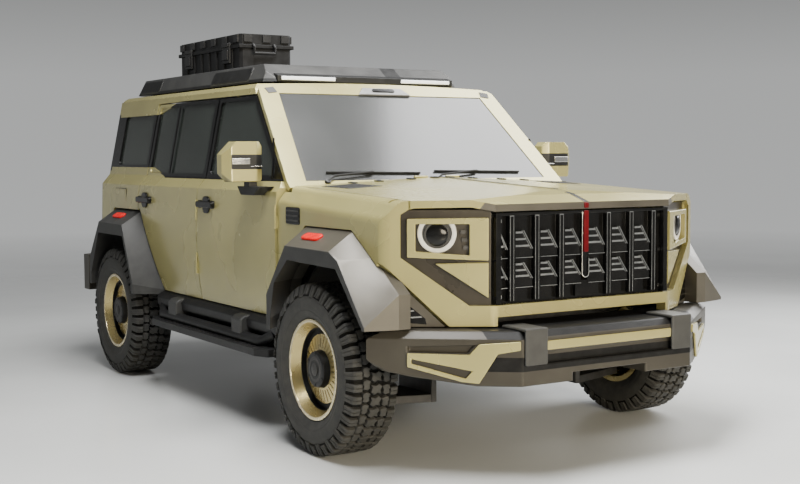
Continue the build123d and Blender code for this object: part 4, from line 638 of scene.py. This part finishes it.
BAR_PITCH = 0.142
GRILLE_EDGE = -0.49
RAISED_Y, SUNK_Y = (NOSE_Y + 0.003, NOSE_Y + 0.008), (NOSE_Y + 0.008, NOSE_Y + 0.014)
CURL_R, CURL_Z = 0.02, 0.872
lines = Kit()
for column in range(-3, 4):
    mid = column * BAR_PITCH
    if column:
        for edge in (-1, 1):
            x = mid + edge * 0.0098
            lines.box(about(x, 0.0013), RAISED_Y, (0.768, 1.146))
        lines.box(about(mid, 0.0115), RAISED_Y, (1.146, 1.15))
    near, far = mid - BAR_PITCH, mid
    edge = max(near + 0.024, GRILLE_EDGE)
    for top, low in ((1.082, 0.998), (0.938, 0.864)):
        start, end = near + 0.07, far - 0.02
        for share in (0.1, 0.46, 0.82):
            z = top + (low - top) * share
            tip = start + (end - start) * share
            if tip - 0.014 > edge:
                lines.box((edge, tip - 0.014), SUNK_Y, (z - 0.005, z + 0.0035))
        for shift, width in ((0.0, 0.005), (-0.011, 0.003)):
            heads = [(max(start + shift - width, -0.494), top), (max(start + shift, GRILLE_EDGE), top)]
            slant = heads + [(end + shift, low), (end + shift - width, low)]
            lines.prism([(x, NOSE_Y + 0.007, z) for x, z in slant], (0, 0.007, 0))
        lines.box((edge, far - 0.02), SUNK_Y, (low - 0.04, low - 0.0375))
for side in BOTH:
    for z in (1.13, 0.965, 0.79):
        lines.box(span(side, 0.47, 0.486), (NOSE_Y + 0.022, NOSE_Y + 0.036), (z - 0.012, z + 0.003))
turns = (-1.2, -0.8, -0.4, 0, 0.4, 0.8, 1.2)
curl = [(-CURL_R, 1.158), (-CURL_R, CURL_Z)]
curl += [(CURL_R * math.sin(a), CURL_Z - CURL_R * math.cos(a)) for a in turns]
curl += [(CURL_R, CURL_Z), (CURL_R, 0.94)]
lines.tube([(x, NOSE_Y + 0.003, z) for x, z in curl], 0.0028)
lines.piece("grille_lines", chrome)

bar = Kit().end_plate((0, NOSE_Y + 0.007, 1.066), rounded(0.026, 0.194, 0.006), -0.012)
bar.piece("grille_light_bar", red_bar, 0.002, slot="tail_lens")

SWEEP = Vector((0.8421, 0.5392, 0))
BROW_Z = 1.1165
LAMP_RING = [(0.007, 0.066), (0.0125, 0.068), (0.0138, 0.074), (0.0122, 0.085), (0.007, 0.088)]
LAMP_RIM = [(0.012, 0.0515), (0.015, 0.053), (0.015, 0.057), (0.009, 0.0595), (0.009, 0.0515)]
DOME_TURNS = (1.45, 1.1, 0.75, 0.4, 0.0)
rings, domes, inner = Kit(), Kit(), Kit()
for side in BOTH:
    along = Vector((side * SWEEP.x, SWEEP.y, 0))
    out = Vector((side * SWEEP.y, -SWEEP.x, 0))
    corner = Vector((side * 0.52, NOSE_Y + 0.034, 0))
    spot = corner + along * 0.2399 + Vector((0, 0, 1.074))
    rings.lathe(LAMP_RING, spot, out, 64)
    bulge = [(0.013 + 0.012 * math.cos(a), 0.047 * math.sin(a) + 0.001) for a in DOME_TURNS]
    spot.z = 1.069
    domes.lathe([(0.012, 0.001), (0.012, 0.051)] + bulge, spot, out, 40)
    inner.lathe(LAMP_RIM, spot, out, 40)
    for n, z in enumerate((1.01, 1.045, 1.08)):
        foot = corner + along * (0.112 + 0.006 * n) + out * 0.0008 + Vector((0, 0, z))
        inner.prism(lay(foot, along, (0, 0, 1), rounded(0.024, 0.018, 0.004)), out * 0.01)
whole = rings.bm.verts[:] + rings.bm.edges[:] + rings.bm.faces[:]
bmesh.ops.bisect_plane(rings.bm, geom=whole, plane_co=(0, 0, BROW_Z), plane_no=(0, 0, 1), clear_outer=True)
bmesh.ops.holes_fill(rings.bm, edges=[edge for edge in rings.bm.edges if edge.is_boundary])
rings.piece("lamp_rings", ring_lens, slot="lamp_lens")
domes.piece("lamp_domes", piano, slot="lamp_lens")
inner.piece("lamp_inner", iron, slot="lamp_lens")

SPINE = [(0.5, 1.3035), (0.0, 1.2805), (-0.4, 1.262), (-0.51, 1.2575), (-0.64, 1.235), (-0.741, 1.2015)]


def ribbon(kit, low_x, high_x, lift, path):
    """A thin strip on the hood's spine."""
    loops = []
    for u, z in path:
        ring = ((low_x, -0.003), (high_x, -0.003), (high_x, lift), (low_x, lift))
        loops.append([(x, behind(u), z + rise) for x, rise in ring])
    kit.skin(loops)


spine, edges = Kit(), Kit()
ribbon(spine, -0.011, 0.011, 0.0016, SPINE)
for side in BOTH:
    ribbon(edges, *span(side, 0.011, 0.0135), 0.0024, SPINE)
spine.box((-0.013, 0.013), (NOSE_Y - 0.003, NOSE_Y + 0.004), (1.173, 1.186))
spine.piece("hood_spine", black, body="hood", slot="paint")
edges.piece("hood_spine_edges", chrome, body="hood", slot="paint")
tip = Kit().end_plate((0, NOSE_Y + 0.001, 1.187), rounded(0.026, 0.026, 0.005), -0.006)
tip.piece("hood_light_bar", red_bar, 0.0015, body="hood", slot="tail_lens")

hood_mesh = nodes["hood"].data
hood_points = [vert.co for vert in hood_mesh.vertices]
hood_top = BVHTree.FromPolygons(hood_points, [face.vertices for face in hood_mesh.polygons])


def on_hood(x, u, lift):
    """A point above the hood's top."""
    hit = hood_top.ray_cast(Vector((x, behind(u), 2.0)), Vector((0, 0, -1)))[0]
    return hit + Vector((0, 0, lift))


def hood_sheet(kit, corners, lift):
    """A thin plate that follows the hood between four (x, u) corners."""
    (ax, au), (bx, bu), (cx, cu), (dx, du) = corners
    loops = []
    for n in range(7):
        t = n / 6
        nx, nu = ax + (bx - ax) * t, au + (bu - au) * t
        fx, fu = dx + (cx - dx) * t, du + (cu - du) * t
        row = [(nx + (fx - nx) * m / 4, nu + (fu - nu) * m / 4) for m in range(5)]
        loops.append(
            [on_hood(x, u, lift) for x, u in row] + [on_hood(x, u, -0.002) for x, u in reversed(row)]
        )
    kit.skin(loops)


GRATE = ((0.53, 0.2), (0.74, 0.17), (0.78, 0.38), (0.57, 0.41))
SLAT = ((0.0, 0.0), (0.19, -0.028), (0.193, -0.016), (0.003, 0.012))
CLIP = ((-0.016, 0.425), (0.016, 0.425), (0.016, 0.475), (-0.016, 0.475))
grates, clips = Kit(), Kit()
for side in BOTH:
    hood_sheet(grates, [(side * x, u) for x, u in GRATE], 0.0015)
    for n in range(5):
        u, x = 0.225 + n * 0.038, 0.55 + n * 0.008
        hood_sheet(clips, [(side * (x + a), u + b) for a, b in SLAT], 0.0035)
    for x in (0.05, 0.2, 0.4, 0.56):
        hood_sheet(clips, [(side * (x + a), u) for a, u in CLIP], 0.006)
grates.piece("hood_vents", smoke, body="hood")
clips.piece("hood_clips", black, 0.001, body="hood")


# Flares: marker lamps on the sloping tops, a scoop with fins at each front foot

CHEEK_IN, CHEEK_OUT = Vector((0.52, -2.061, 0)), Vector((0.931, -1.801, 0))
CHEEK_RUN = (CHEEK_OUT - CHEEK_IN).normalized()
VENT = [(0.775, 0.694), (0.888, 0.804), (0.874, 0.679), (0.771, 0.669)]


def on_cheek(side, x, z, out, lift):
    """A point on the swept panel inside a front flare, lifted off it."""
    reach = CHEEK_IN + CHEEK_RUN * ((x - CHEEK_IN.x) / CHEEK_RUN.x)
    return Vector((side * reach.x, reach.y, z)) + out * lift


markers, scoops, fins = Kit(), Kit(), Kit()
for side in BOTH:
    slope, up = Vector((side * 0.866, 0, -0.5)), Vector((side * 0.5, 0, 0.866))
    for axle in (FRONT_AXLE + 0.06, REAR_AXLE + 0.01):
        seat = Vector((side * 1.008, axle, 1.0335)) - up * 0.004
        markers.prism(lay(seat, (0, 1, 0), slope, rounded(0.168, 0.05, 0.022)), up * 0.013)
    out = Vector((side * CHEEK_RUN.y, -CHEEK_RUN.x, 0))
    scoops.prism([on_cheek(side, x, z, out, -0.003) for x, z in VENT], out * 0.0045)
    for z in (0.7, 0.728):
        fin = ((z * 1.03 + 0.066, z), (0.874, z - 0.006), (0.874, z), (z * 1.03 + 0.07, z + 0.006))
        fins.prism([on_cheek(side, x, h, out, 0.0) for x, h in fin], out * 0.004)
markers.piece("marker_lamps", red_lens, 0.004, slot="tail_lens")
scoops.piece("flare_scoops", piano, 0.001)
fins.piece("flare_fins", chrome)


# Windscreen: wipers, sensor pod on the header, caps at the top corners

FOOT, HEAD = Vector((0, behind(0.548), 1.29)), Vector((0, behind(1.052), 1.768))
RISE = (HEAD - FOOT).normalized()
LIFT = Vector((1, 0, 0)).cross(RISE)


def on_screen(x, rise, lift):
    """A point on the windscreen's plane: across, up the slope and off the glass."""
    return FOOT + Vector((x, 0, 0)) + RISE * rise + LIFT * lift


# (across, up the slope, off the glass) from each wiper's pivot
WIPER_ARM = ((0.0, -0.012, 0.012), (0.05, 0.02, 0.016), (0.3, 0.05, 0.012))
WIPER_BLADE = ((0.02, 0.06, 0.003), (0.3, 0.054, 0.003), (0.6, 0.046, 0.003))
WIPER_CAP = [(0.0, 0.001), (0.0, 0.017), (0.014, 0.015), (0.016, 0.001)]
POD = ((-0.175, 0.69), (0.175, 0.69), (0.13, 0.748), (-0.13, 0.748))
HEADER_CAP = ((0.69, 0.7), (0.745, 0.69), (0.757, 0.732), (0.7, 0.744))
wipers = Kit()
for x in (-0.66, 0.02):
    for path, radius in ((WIPER_ARM, 0.0065), (WIPER_BLADE, 0.0055)):
        wipers.tube([on_screen(x + reach, rise, lift) for reach, rise, lift in path], radius)
    wipers.lathe(WIPER_CAP, on_screen(x, -0.012, 0.0), LIFT, 16)
wipers.piece("wipers", black)
pod = Kit().prism([on_screen(x, rise, -0.004) for x, rise in POD], LIFT * 0.014)
pod.piece("header_pod", pod_grey, 0.004)
window = lay(on_screen(0, 0.722, 0.008), (1, 0, 0), RISE, rounded(0.15, 0.026, 0.012))
eye = Kit().prism(window, LIFT * 0.008)
eye.piece("header_pod_window", piano, 0.002)
caps = Kit()
for side in BOTH:
    caps.prism([on_screen(side * x, rise, 0.0) for x, rise in HEADER_CAP], LIFT * 0.003)
caps.piece("header_caps", smoke)


# Sides: handles, mirror blades, window bars, door cards, fender vents, steps, fuel flap

MIRROR_Y = behind(0.735)
# (x, u, z) and (x, y, z) of the bars at the panes, (y, z) of the painted corners of the rear windows
FRONT_BAR = ((0.846, 0.774, 1.515), (0.846, 0.787, 1.515), (0.889, 0.722, 1.298), (0.889, 0.708, 1.298))
REAR_BAR = ((0.805, 0.825, 1.721), (0.805, 0.847, 1.721), (0.885, 0.849, 1.319), (0.885, 0.825, 1.319))
WINDOW_CORNERS = (
    ((1.007, 1.73), (1.17, 1.73), (1.17, 1.693)),
    ((0.994, 1.318), (1.127, 1.35), (1.17, 1.35), (1.17, 1.318)),
)
WINDOW_FOOT_X, WINDOW_FOOT_Z, WINDOW_LEAN = 0.876, 1.318, 0.2016
SPEAKER = [(0.0, 0.045), (0.0, 0.078), (0.006, 0.074), (0.006, 0.048)]

for side_name, side in SIDES.items():
    front_door, rear_door = f"door_front_{side_name}", f"door_rear_{side_name}"
    for end, u in (("front", 1.44), ("rear", 2.425)):
        handle = Kit()
        handle.wall_plate(side, 0.9505, u, 1.144, rounded(0.088, 0.098, 0.03), 0.014)
        handle.wall_plate(side, 0.958, u, 1.146, rounded(0.22, 0.036, 0.016), 0.022)
        for reach in (-0.085, 0.085):
            handle.wall_plate(side, 0.948, u + reach, 1.146, rounded(0.048, 0.046, 0.02), 0.02)
        handle.piece(f"handle_{end}_{side_name}", piano, 0.004, body=f"door_{end}_{side_name}")

    blade = Kit().box(span(side, 1.01, 1.112), (MIRROR_Y - 0.003, MIRROR_Y + 0.02), (1.376, 1.408))
    blade.box(span(side, 0.938, 1.008), (MIRROR_Y - 0.002, MIRROR_Y + 0.02), (1.364, 1.369))
    blade.piece(f"mirror_blades_{side_name}", chrome, 0.002, body=front_door, slot="paint")
    lean = Vector((side * 0.981, 0, 0.195))
    bar = Kit().prism([(side * x, y, z) for x, y, z in REAR_BAR], lean * 0.007)
    corners = Kit()
    for outline in WINDOW_CORNERS:
        reaches = [WINDOW_FOOT_X - (z - WINDOW_FOOT_Z) * WINDOW_LEAN for _, z in outline]
        corners.prism([(side * x, y, z) for x, (y, z) in zip(reaches, outline)], lean * 0.006)
    corners.piece(f"window_corners_{side_name}", paint, 0.001, body=rear_door, slot="paint")
    bar.piece(f"window_bar_rear_{side_name}", piano, 0.001, body=rear_door)
    bar = Kit().prism([(side * x, behind(u), z) for x, u, z in FRONT_BAR], lean * 0.007)
    bar.piece(f"window_bar_front_{side_name}", piano, 0.001, body=front_door)

    for start, end, body in ((0.62, 1.54, "front"), (1.66, 2.36, "rear")):
        card = Kit()
        card.box(span(side, 0.838, 0.8475), (behind(start), behind(end)), (0.66, 1.2))
        card.box(span(side, 0.795, 0.846), (behind(start + 0.2), behind(end - 0.16)), (0.945, 1.005))
        card.lathe(SPEAKER, (side * 0.838, behind(start + 0.16), 0.77), (-side, 0, 0), 32)
        card.wall_plate(side, 0.84, start + 0.3, 1.1, rounded(0.15, 0.04, 0.016), -0.02)
        card.piece(
            f"door_card_{body}_{side_name}", hide, 0.006, body=f"door_{body}_{side_name}",
            slot="seat_cover",
        )

STEP_TUBE = ((0.945, 0.59, 0.5), (0.985, 0.68, 0.455), (0.985, 2.05, 0.455), (0.945, 2.14, 0.5))
GUARD = ((0.924, 0.58), (0.944, 0.576), (0.972, 0.55), (0.968, 0.505), (0.935, 0.472), (0.924, 0.472))
BRACKET = ((0.93, 0.574), (0.985, 0.566), (1.008, 0.548), (1.008, 0.452), (0.985, 0.436), (0.93, 0.436))
vents, slats = Kit(), Kit()
treads, tubes, brackets, guards = Kit(), Kit(), Kit(), Kit()
for side in BOTH:
    vents.wall_plate(side, 0.9445, 0.38, 1.122, rounded(0.15, 0.086, 0.012), 0.006)
    for z in (1.098, 1.122, 1.146):
        slats.box(span(side, 0.949, 0.9535), (behind(0.318), behind(0.442)), about(z, 0.004))
    tubes.tube([(side * x, behind(u), z) for x, u, z in STEP_TUBE], 0.03, 14)
    guards.prism([(side * x, behind(0.5), z) for x, z in GUARD], (0, 1.7, 0))
    for u in (0.95, 1.865):
        brackets.prism([(side * x, behind(u - 0.062), z) for x, z in BRACKET], (0, 0.124, 0))
    for n in range(24):
        y = behind(0.64 + n * 0.0615)
        treads.box(span(side, 0.935, 1.03), about(y, 0.011), (0.429, 0.4335))
vents.piece("fender_vents", piano, 0.003)
slats.piece("fender_vent_slats", smoke)
tubes.piece("step_tubes", black)
guards.piece("rocker_guards", black, 0.008)
brackets.piece("step_brackets", smoke, 0.008)
treads.piece("step_treads", black, 0.002)

FLAP_SIDE, FLAP_U, FLAP_Z = SIDES["right"], 2.878, 1.158
flap = Kit().wall_plate(FLAP_SIDE, 0.9515, FLAP_U, FLAP_Z, rounded(0.196, 0.1, 0.014), 0.0035)
flap.piece("fuel_flap", paint, 0.001, slot="paint")
# painted shadow: a black plate a little larger than the flap, set behind it, darkens the gap around the flap
shadow = Kit().wall_plate(FLAP_SIDE, 0.9505, FLAP_U, FLAP_Z, rounded(0.204, 0.108, 0.017), 0.003)
shadow.piece("fuel_flap_gap_shadow", black)


# Roof: black plates as painted shade in the hollows of the tray's walls, light bars, latches and grips of the
# case

lean_out, lean_up = Vector((0.9063, 0, 0.4226)), Vector((-0.4226, 0, 0.9063))
hollows, lips = Kit(), Kit()
for side in BOTH:
    out = Vector((side * lean_out.x, 0, lean_out.z))
    up = Vector((side * lean_up.x, 0, lean_up.z))
    for start, end in ((1.49, 2.04), (2.91, 3.26)):
        middle = Vector((side * 0.665, behind((start + end) / 2), 1.843)) + up * 0.058 - out * 0.004
        for kit, grow, lift in ((lips, 0.016, 0.006), (hollows, 0.0, 0.008)):
            outline = rounded(end - start + grow, 0.082 + grow, 0.028)
            kit.prism(lay(middle, (0, 1, 0), up, outline), out * lift)
# the black plates are painted shade in the hollows of the tray's walls
hollows.piece("tray_hollows", black, 0.002, slot="tray_metal")
lips.piece("tray_lips", smoke, 0.002, slot="tray_metal")

front = behind(1.235)
section = [(front - 0.006, 1.845), (front - 0.006, 1.88), (front + 0.05, 1.893), (front + 0.02, 1.845)]
housing = Kit().prism([(-0.6, y, z) for y, z in section], (1.2, 0, 0))
housing.piece("light_bar_housing", black, 0.003, slot="tray_metal")
strips = Kit()
for start, end in ((-0.575, -0.226), (0.226, 0.575)):
    strips.box((start, end), (front - 0.01, front + 0.002), (1.853, 1.874))
strips.piece("light_bars", white_lens, 0.003, slot="lamp_lens")

CASE_X, CASE_Y, CASE_Z = (-0.45, -0.09), (behind(2.05), behind(3.03)), (1.89, 2.19)
LID_RIBS_Z = (CASE_Z[1] - 0.052, CASE_Z[1] - 0.006)
# outer face, inner face, half width, foot and head of each plate of a latch
LATCH = (
    (0.022, 0.0, 0.055, 0.12, 0.25),
    (0.03, 0.018, 0.042, 0.14, 0.205),
    (0.028, 0.018, 0.048, 0.222, 0.246),
)
# (distance from the case's front, height) down one arm of the handle
HANDLE_ARM = [(0.004, 2.12), (-0.02, 2.12), (-0.03, 2.108), (-0.03, 2.068)]
HANDLE_X = (-0.366, -0.222)
latches, grips = Kit(), Kit()
for middle in (CASE_Y[0] + 0.18, CASE_Y[1] - 0.18):
    for face, back, half, foot, head in LATCH:
        x = (CASE_X[0] - face, CASE_X[0] - back)
        latches.box(x, about(middle, half), (CASE_Z[0] + foot, CASE_Z[0] + head))
handle = [(HANDLE_X[0], CASE_Y[0] + y, z) for y, z in HANDLE_ARM]
handle += [(HANDLE_X[1], CASE_Y[0] + y, z) for y, z in reversed(HANDLE_ARM)]
grips.tube(handle, 0.01, 10)
for x, outward in zip(CASE_X, (-1, 1)):
    for n in range(6):
        y = CASE_Y[0] + 0.05 + n * 0.176
        grips.box(sorted((x - outward * 0.02, x + outward * 0.012)), about(y, 0.03), LID_RIBS_Z)
for y, outward in zip(CASE_Y, (-1, 1)):
    for n in range(3):
        x = CASE_X[0] + 0.05 + n * 0.13
        grips.box(about(x, 0.028), sorted((y - outward * 0.02, y + outward * 0.012)), LID_RIBS_Z)
latches.piece("case_latches", black, 0.004)
grips.piece("case_grip", black, 0.003)


# Cabin: seats, steering wheel, dashboard

PAD_CUTS = 10
SEAM_WIDTH, SEAM_DEPTH = 0.011, 0.012
# (axis, place) of the seams
SEAT_SEAMS = ((1, -0.09), (1, 0.02), (1, 0.13))
BENCH_SEAMS = ((1, -0.06), (1, 0.07))
BENCH_BACK_SEAMS = ((1, -0.06), (1, 0.09))
SEAT_X, SEAT_Y = 0.37, behind(1.08)
BENCH_PLACES = (-0.36, 0.0, 0.36)


def pad(kit, centre, size, turn, radius, crown, seams=()):
    """A cushion: a rounded block with a crowned top, drawn in along its seams; turn is about X in degrees."""
    half = Vector(size) / 2
    block = bmesh.new()
    bmesh.ops.create_cube(block, size=2)
    bmesh.ops.subdivide_edges(block, edges=block.edges, cuts=PAD_CUTS, use_grid_fill=True)
    tilt = Matrix.Rotation(math.radians(turn), 3, "X")
    for vert in block.verts:
        local = Vector(vert.co[n] * half[n] for n in range(3))
        core = Vector(max(-half[n] + radius, min(half[n] - radius, local[n])) for n in range(3))
        away = local - core
        point = core + (away.normalized() * radius if away.length > 1e-9 else away)
        a, b = point.x / half.x, point.y / half.y
        top = max(point.z / half.z, 0.0)
        point.z += crown * (1 - a * a) * (1 - b * b) * top
        for axis, place_at in seams:
            gap = (point[axis] - place_at) / SEAM_WIDTH
            point.z -= SEAM_DEPTH * math.exp(-gap * gap) * top
        vert.co = Vector(centre) + tilt @ point
    shape = bpy.data.meshes.new("pad")
    block.to_mesh(shape)
    block.free()
    kit.bm.from_mesh(shape)
    bpy.data.meshes.remove(shape)


def seat_pads(kit, x, y, width, back_top):
    """One seat: cushion with bolsters, backrest with bolsters, head restraint."""
    bolster = width / 2 - 0.055
    columns = (
        (0, width - 0.2, 0.15, 0.018, SEAT_SEAMS),
        (-bolster, 0.11, 0.19, 0.012, ()),
        (bolster, 0.11, 0.19, 0.012, ()),
    )
    for dx, wide, high, crown, seams in columns:
        pad(kit, (x + dx, y + 0.235, 0.835), (wide, 0.5, high), 3, 0.045, crown, seams)
        pad(kit, (x + dx, y + 0.545, 1.135), (wide, 0.6, high - 0.02), 102, 0.045, 0.0, seams)
    pad(kit, (x, y + 0.64, back_top - 0.065), (0.26, 0.15, 0.095), 102, 0.035, 0.006)


pads = Kit()
for side in BOTH:
    seat_pads(pads, side * SEAT_X, SEAT_Y, 0.5, 1.545)
pads = pads.piece("front_seat_pads", hide, slot="seat_cover")
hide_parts("front_seats")
bench = Kit()
for x in BENCH_PLACES:
    pad(bench, (x, REAR_AXLE - 0.59, 0.85), (0.355, 0.44, 0.15), 2, 0.045, 0.016, BENCH_SEAMS)
    pad(bench, (x, REAR_AXLE - 0.335, 1.12), (0.355, 0.56, 0.11), 103, 0.04, 0.0, BENCH_BACK_SEAMS)
    pad(bench, (x, REAR_AXLE - 0.262, 1.44), (0.23, 0.12, 0.085), 103, 0.032, 0.004)
bench = bench.piece("rear_seat_pads", hide, slot="seat_cover")
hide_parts("rear_seat")
frames, posts = Kit(), Kit()
for side in BOTH:
    x, y = side * SEAT_X, SEAT_Y
    for rail in (-0.17, 0.17):
        frames.box(about(x + rail, 0.022), (y + 0.03, y + 0.5), (0.63, 0.67))
    frames.box(about(x, 0.2), (y + 0.05, y + 0.46), (0.67, 0.772))
    for post in (-0.06, 0.06):
        posts.tube([(x + post, y + 0.608, 1.4), (x + post, y + 0.63, 1.5)], 0.007)
frames.box((-0.52, 0.52), (REAR_AXLE - 0.78, REAR_AXLE - 0.62), (0.6303, 0.785))
frames.box((-0.52, 0.52), (REAR_AXLE - 0.61, REAR_AXLE - 0.38), (0.758, 0.786))
for x in BENCH_PLACES:
    for post in (-0.05, 0.05):
        posts.tube([(x + post, REAR_AXLE - 0.284, 1.37), (x + post, REAR_AXLE - 0.266, 1.43)], 0.006)
frames.piece("seat_frames", black, 0.004, slot="seat_cover")
posts.piece("seat_posts", chrome, slot="seat_cover")

PIVOT = Vector((0.37, behind(0.96), 1.085))
COLUMN_TILT = math.radians(24)
AHEAD = Vector((0, math.cos(COLUMN_TILT), math.sin(COLUMN_TILT)))
UPWARD = AHEAD.cross(Vector((1, 0, 0)))
# (reach, half width) around a spoke
SPOKE = ((0.04, 0.024), (0.166, 0.014), (0.166, -0.014), (0.04, -0.024))
turns = [n * math.pi / 5 for n in range(10)]
ring = [(0.011 + 0.013 * math.cos(a), 0.172 + 0.013 * math.sin(a)) for a in turns]
wheel = Kit().lathe(ring, PIVOT, AHEAD, 64)
wheel.lathe([(0.0, 0.001), (0.0, 0.046), (0.02, 0.052), (0.027, 0.044), (0.031, 0.001)], PIVOT, AHEAD, 40)
for direction in (Vector((1, 0, 0)), Vector((-1, 0, 0)), -UPWARD):
    cross = direction.cross(AHEAD)
    base = PIVOT + AHEAD * 0.006
    wheel.prism([base + direction * reach + cross * width for reach, width in SPOKE], AHEAD * 0.013)
wheel = wheel.piece("steering_rim", hide, 0.002, body="steering_wheel")
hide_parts("steering_wheel")

# x range, then (u, z) of the foot and of the head of each screen
SCREENS = (((-0.12, 0.2), (0.768, 1.216), (0.762, 1.33)), ((0.24, 0.5), (0.775, 1.206), (0.769, 1.3)))
board, faces = Kit(), Kit()
for (near, far), (foot_u, foot_z), (head_u, head_z) in SCREENS:
    foot, head = behind(foot_u), behind(head_u)
    ring = [(near, foot, foot_z), (far, foot, foot_z), (far, head, head_z), (near, head, head_z)]
    faces.prism(ring, (0, -0.018, 0))
for x in (-0.66, -0.34, 0.06, 0.62):
    for n in range(4):
        height = (1.096 + n * 0.014, 1.102 + n * 0.014)
        board.box(about(x, 0.055), (behind(0.822), behind(0.846)), height)
board.box((-0.7, -0.22), (behind(0.815), behind(0.838)), (1.01, 1.018))
faces.piece("dash_screens", piano, 0.003)
board.piece("dash_vents", smoke, 0.002)


# Tail: lamp bars and frames, reflectors, handle, high brake lamp, tow eyes

frames, bars, reflectors = Kit(), Kit(), Kit()
for side in BOTH:
    x, y = side * 0.83, TAIL + 0.026
    for z in (0.925, 1.035, 1.145):
        bars.box(about(x, 0.038), about(y, 0.004), about(z, 0.012))
    frames.box(about(x, 0.056), (y - 0.024, y - 0.012), (0.902, 1.178))
    reflectors.box(about(side * 0.72, 0.07), (TAIL + 0.223, TAIL + 0.23), (0.655, 0.69))
bars.piece("tail_lamp_bars", chrome, 0.003, slot="tail_lens")
frames.piece("tail_lamp_frames", black, 0.004)
# the reflectors take the glowing red lens material: a painted glow, as they are no lamps
reflectors.piece("rear_reflectors", red_lens, 0.003, slot="tail_lens")
pull = Kit().end_plate((0.64, TAIL - 0.002, 1.12), rounded(0.11, 0.2, 0.02), 0.01)
pull.end_plate((0.64, TAIL + 0.006, 1.12), rounded(0.044, 0.15, 0.018), 0.02)
pull.piece("tailgate_handle", piano, 0.004, body="tailgate")
brake = Kit().end_plate((0, TAIL - 0.002, 1.722), rounded(0.42, 0.022, 0.008), 0.01)
brake.piece("high_brake_lamp", red_lens, 0.002, body="tailgate", slot="tail_lens")
SOCKET_RING = [(0.0, 0.016), (0.0, 0.034), (0.006, 0.034), (0.006, 0.016)]
EYE = ((-0.03, 0.222), (-0.03, 0.255), (0.03, 0.255), (0.03, 0.222))
tow = Kit().lathe(SOCKET_RING, (0.6, TAIL + 0.2245, 0.56), (0, 1, 0), 24)
for x in (-0.62, 0.62):
    tow.tube([(x + reach, TAIL + back, 0.53) for reach, back in EYE], 0.01, 10)
tow.piece("tow_eyes", iron, slot="running_gear")


# Floor, light and camera

shade = Shade("studio_floor")
ground = shade.layer((0.6, 0.61, 0.6), (0.63, 0.64, 0.63), 0.22, grain=0.6, coat=0.2)
x, y = shade.at(0), shade.at(1)
squares = [shade.times(part, part) for part in (x, y)]
away = shade.calc("SQRT", shade.calc("ADD", *squares), 0.0)
clear = shade.node("BsdfTransparent").outputs[0]
fade = shade.mix(shade.ramp(away, 4.5, 17.0, 0.0, 1.0), ground, clear)
floor_mesh = bpy.data.meshes.new("floor")
FLOOR_HALF, FLOOR_Z = 30, -0.001
quarters = ((-1, -1), (1, -1), (1, 1), (-1, 1))
floor_mesh.from_pydata([(x * FLOOR_HALF, y * FLOOR_HALF, FLOOR_Z) for x, y in quarters], [], [(0, 1, 2, 3)])
floor_mesh.materials.append(shade.done(fade))
floor = add("floor", floor_mesh)

world = bpy.data.worlds.new("studio")
bpy.context.scene.world = world
world.use_nodes = True
tree = world.node_tree
tree.nodes.clear()
kinds = ("TexCoord", "SeparateXYZ", "MapRange", "ValToRGB", "Background", "OutputWorld")
where, height, share, sky, glow, out = [tree.nodes.new("ShaderNode" + kind) for kind in kinds]
share.inputs["From Min"].default_value = -1.0
tree.links.new(where.outputs["Generated"], height.inputs[0])
tree.links.new(height.outputs["Z"], share.inputs["Value"])
tree.links.new(share.outputs[0], sky.inputs["Fac"])
tree.links.new(sky.outputs["Color"], glow.inputs["Color"])
tree.links.new(glow.outputs[0], out.inputs["Surface"])
# (height from straight down to straight up, brightness)
STOPS = ((0.0, 0.42), (0.44, 0.52), (0.53, 0.46), (0.58, 0.22), (0.66, 0.1), (1.0, 0.2))
for n, (at, level) in enumerate(STOPS):
    stop = sky.color_ramp.elements[n] if n < 2 else sky.color_ramp.elements.new(at)
    stop.position = at
    stop.color = (level * 0.985, level, level * 0.995, 1)


def softbox(name, place_at, target, size, power, tint=(1, 1, 1)):
    """A large soft lamp aimed at a point."""
    data = bpy.data.lights.new(name, "AREA")
    data.shape = "RECTANGLE"
    data.size, data.size_y = size
    data.energy = power
    data.color = tint
    made = add(name, data)
    made.location = place_at
    made.rotation_euler = (Vector(target) - Vector(place_at)).to_track_quat("-Z", "Y").to_euler()


softbox("overhead", (-1.0, -1.7, 5.4), (-0.7, -1.5, 1.0), (1.3, 4.4), 850)
softbox("far_side", (4.9, -0.6, 4.4), (0.4, -0.6, 1.0), (3.6, 6.0), 800)
softbox("ahead", (-0.5, -8.0, 1.9), (0, -1.5, 0.8), (4.0, 1.6), 600, (1.0, 0.88, 0.66))

CAMERA_AT = (-3.792, -6.519, 1.42)
# yaw, pitch and roll in degrees
CAMERA_TURN = (31.99, -3.97, -0.27)
lens_data = bpy.data.cameras.new("camera")
lens_data.lens = 56.16
lens_data.sensor_width = 36.0
lens_data.clip_end = 200
camera = add("camera", lens_data)
bpy.context.scene.camera = camera
yaw, pitch, roll = (math.radians(a) for a in CAMERA_TURN)
gaze = Vector((math.sin(yaw) * math.cos(pitch), math.cos(yaw) * math.cos(pitch), math.sin(pitch)))
right = Vector((math.cos(yaw), -math.sin(yaw), 0))
up = right.cross(gaze)
right, up = math.cos(roll) * right + math.sin(roll) * up, math.cos(roll) * up - math.sin(roll) * right
turn = Matrix((right, up, -gaze)).transposed().to_4x4()
camera.matrix_world = Matrix.Translation(CAMERA_AT) @ turn
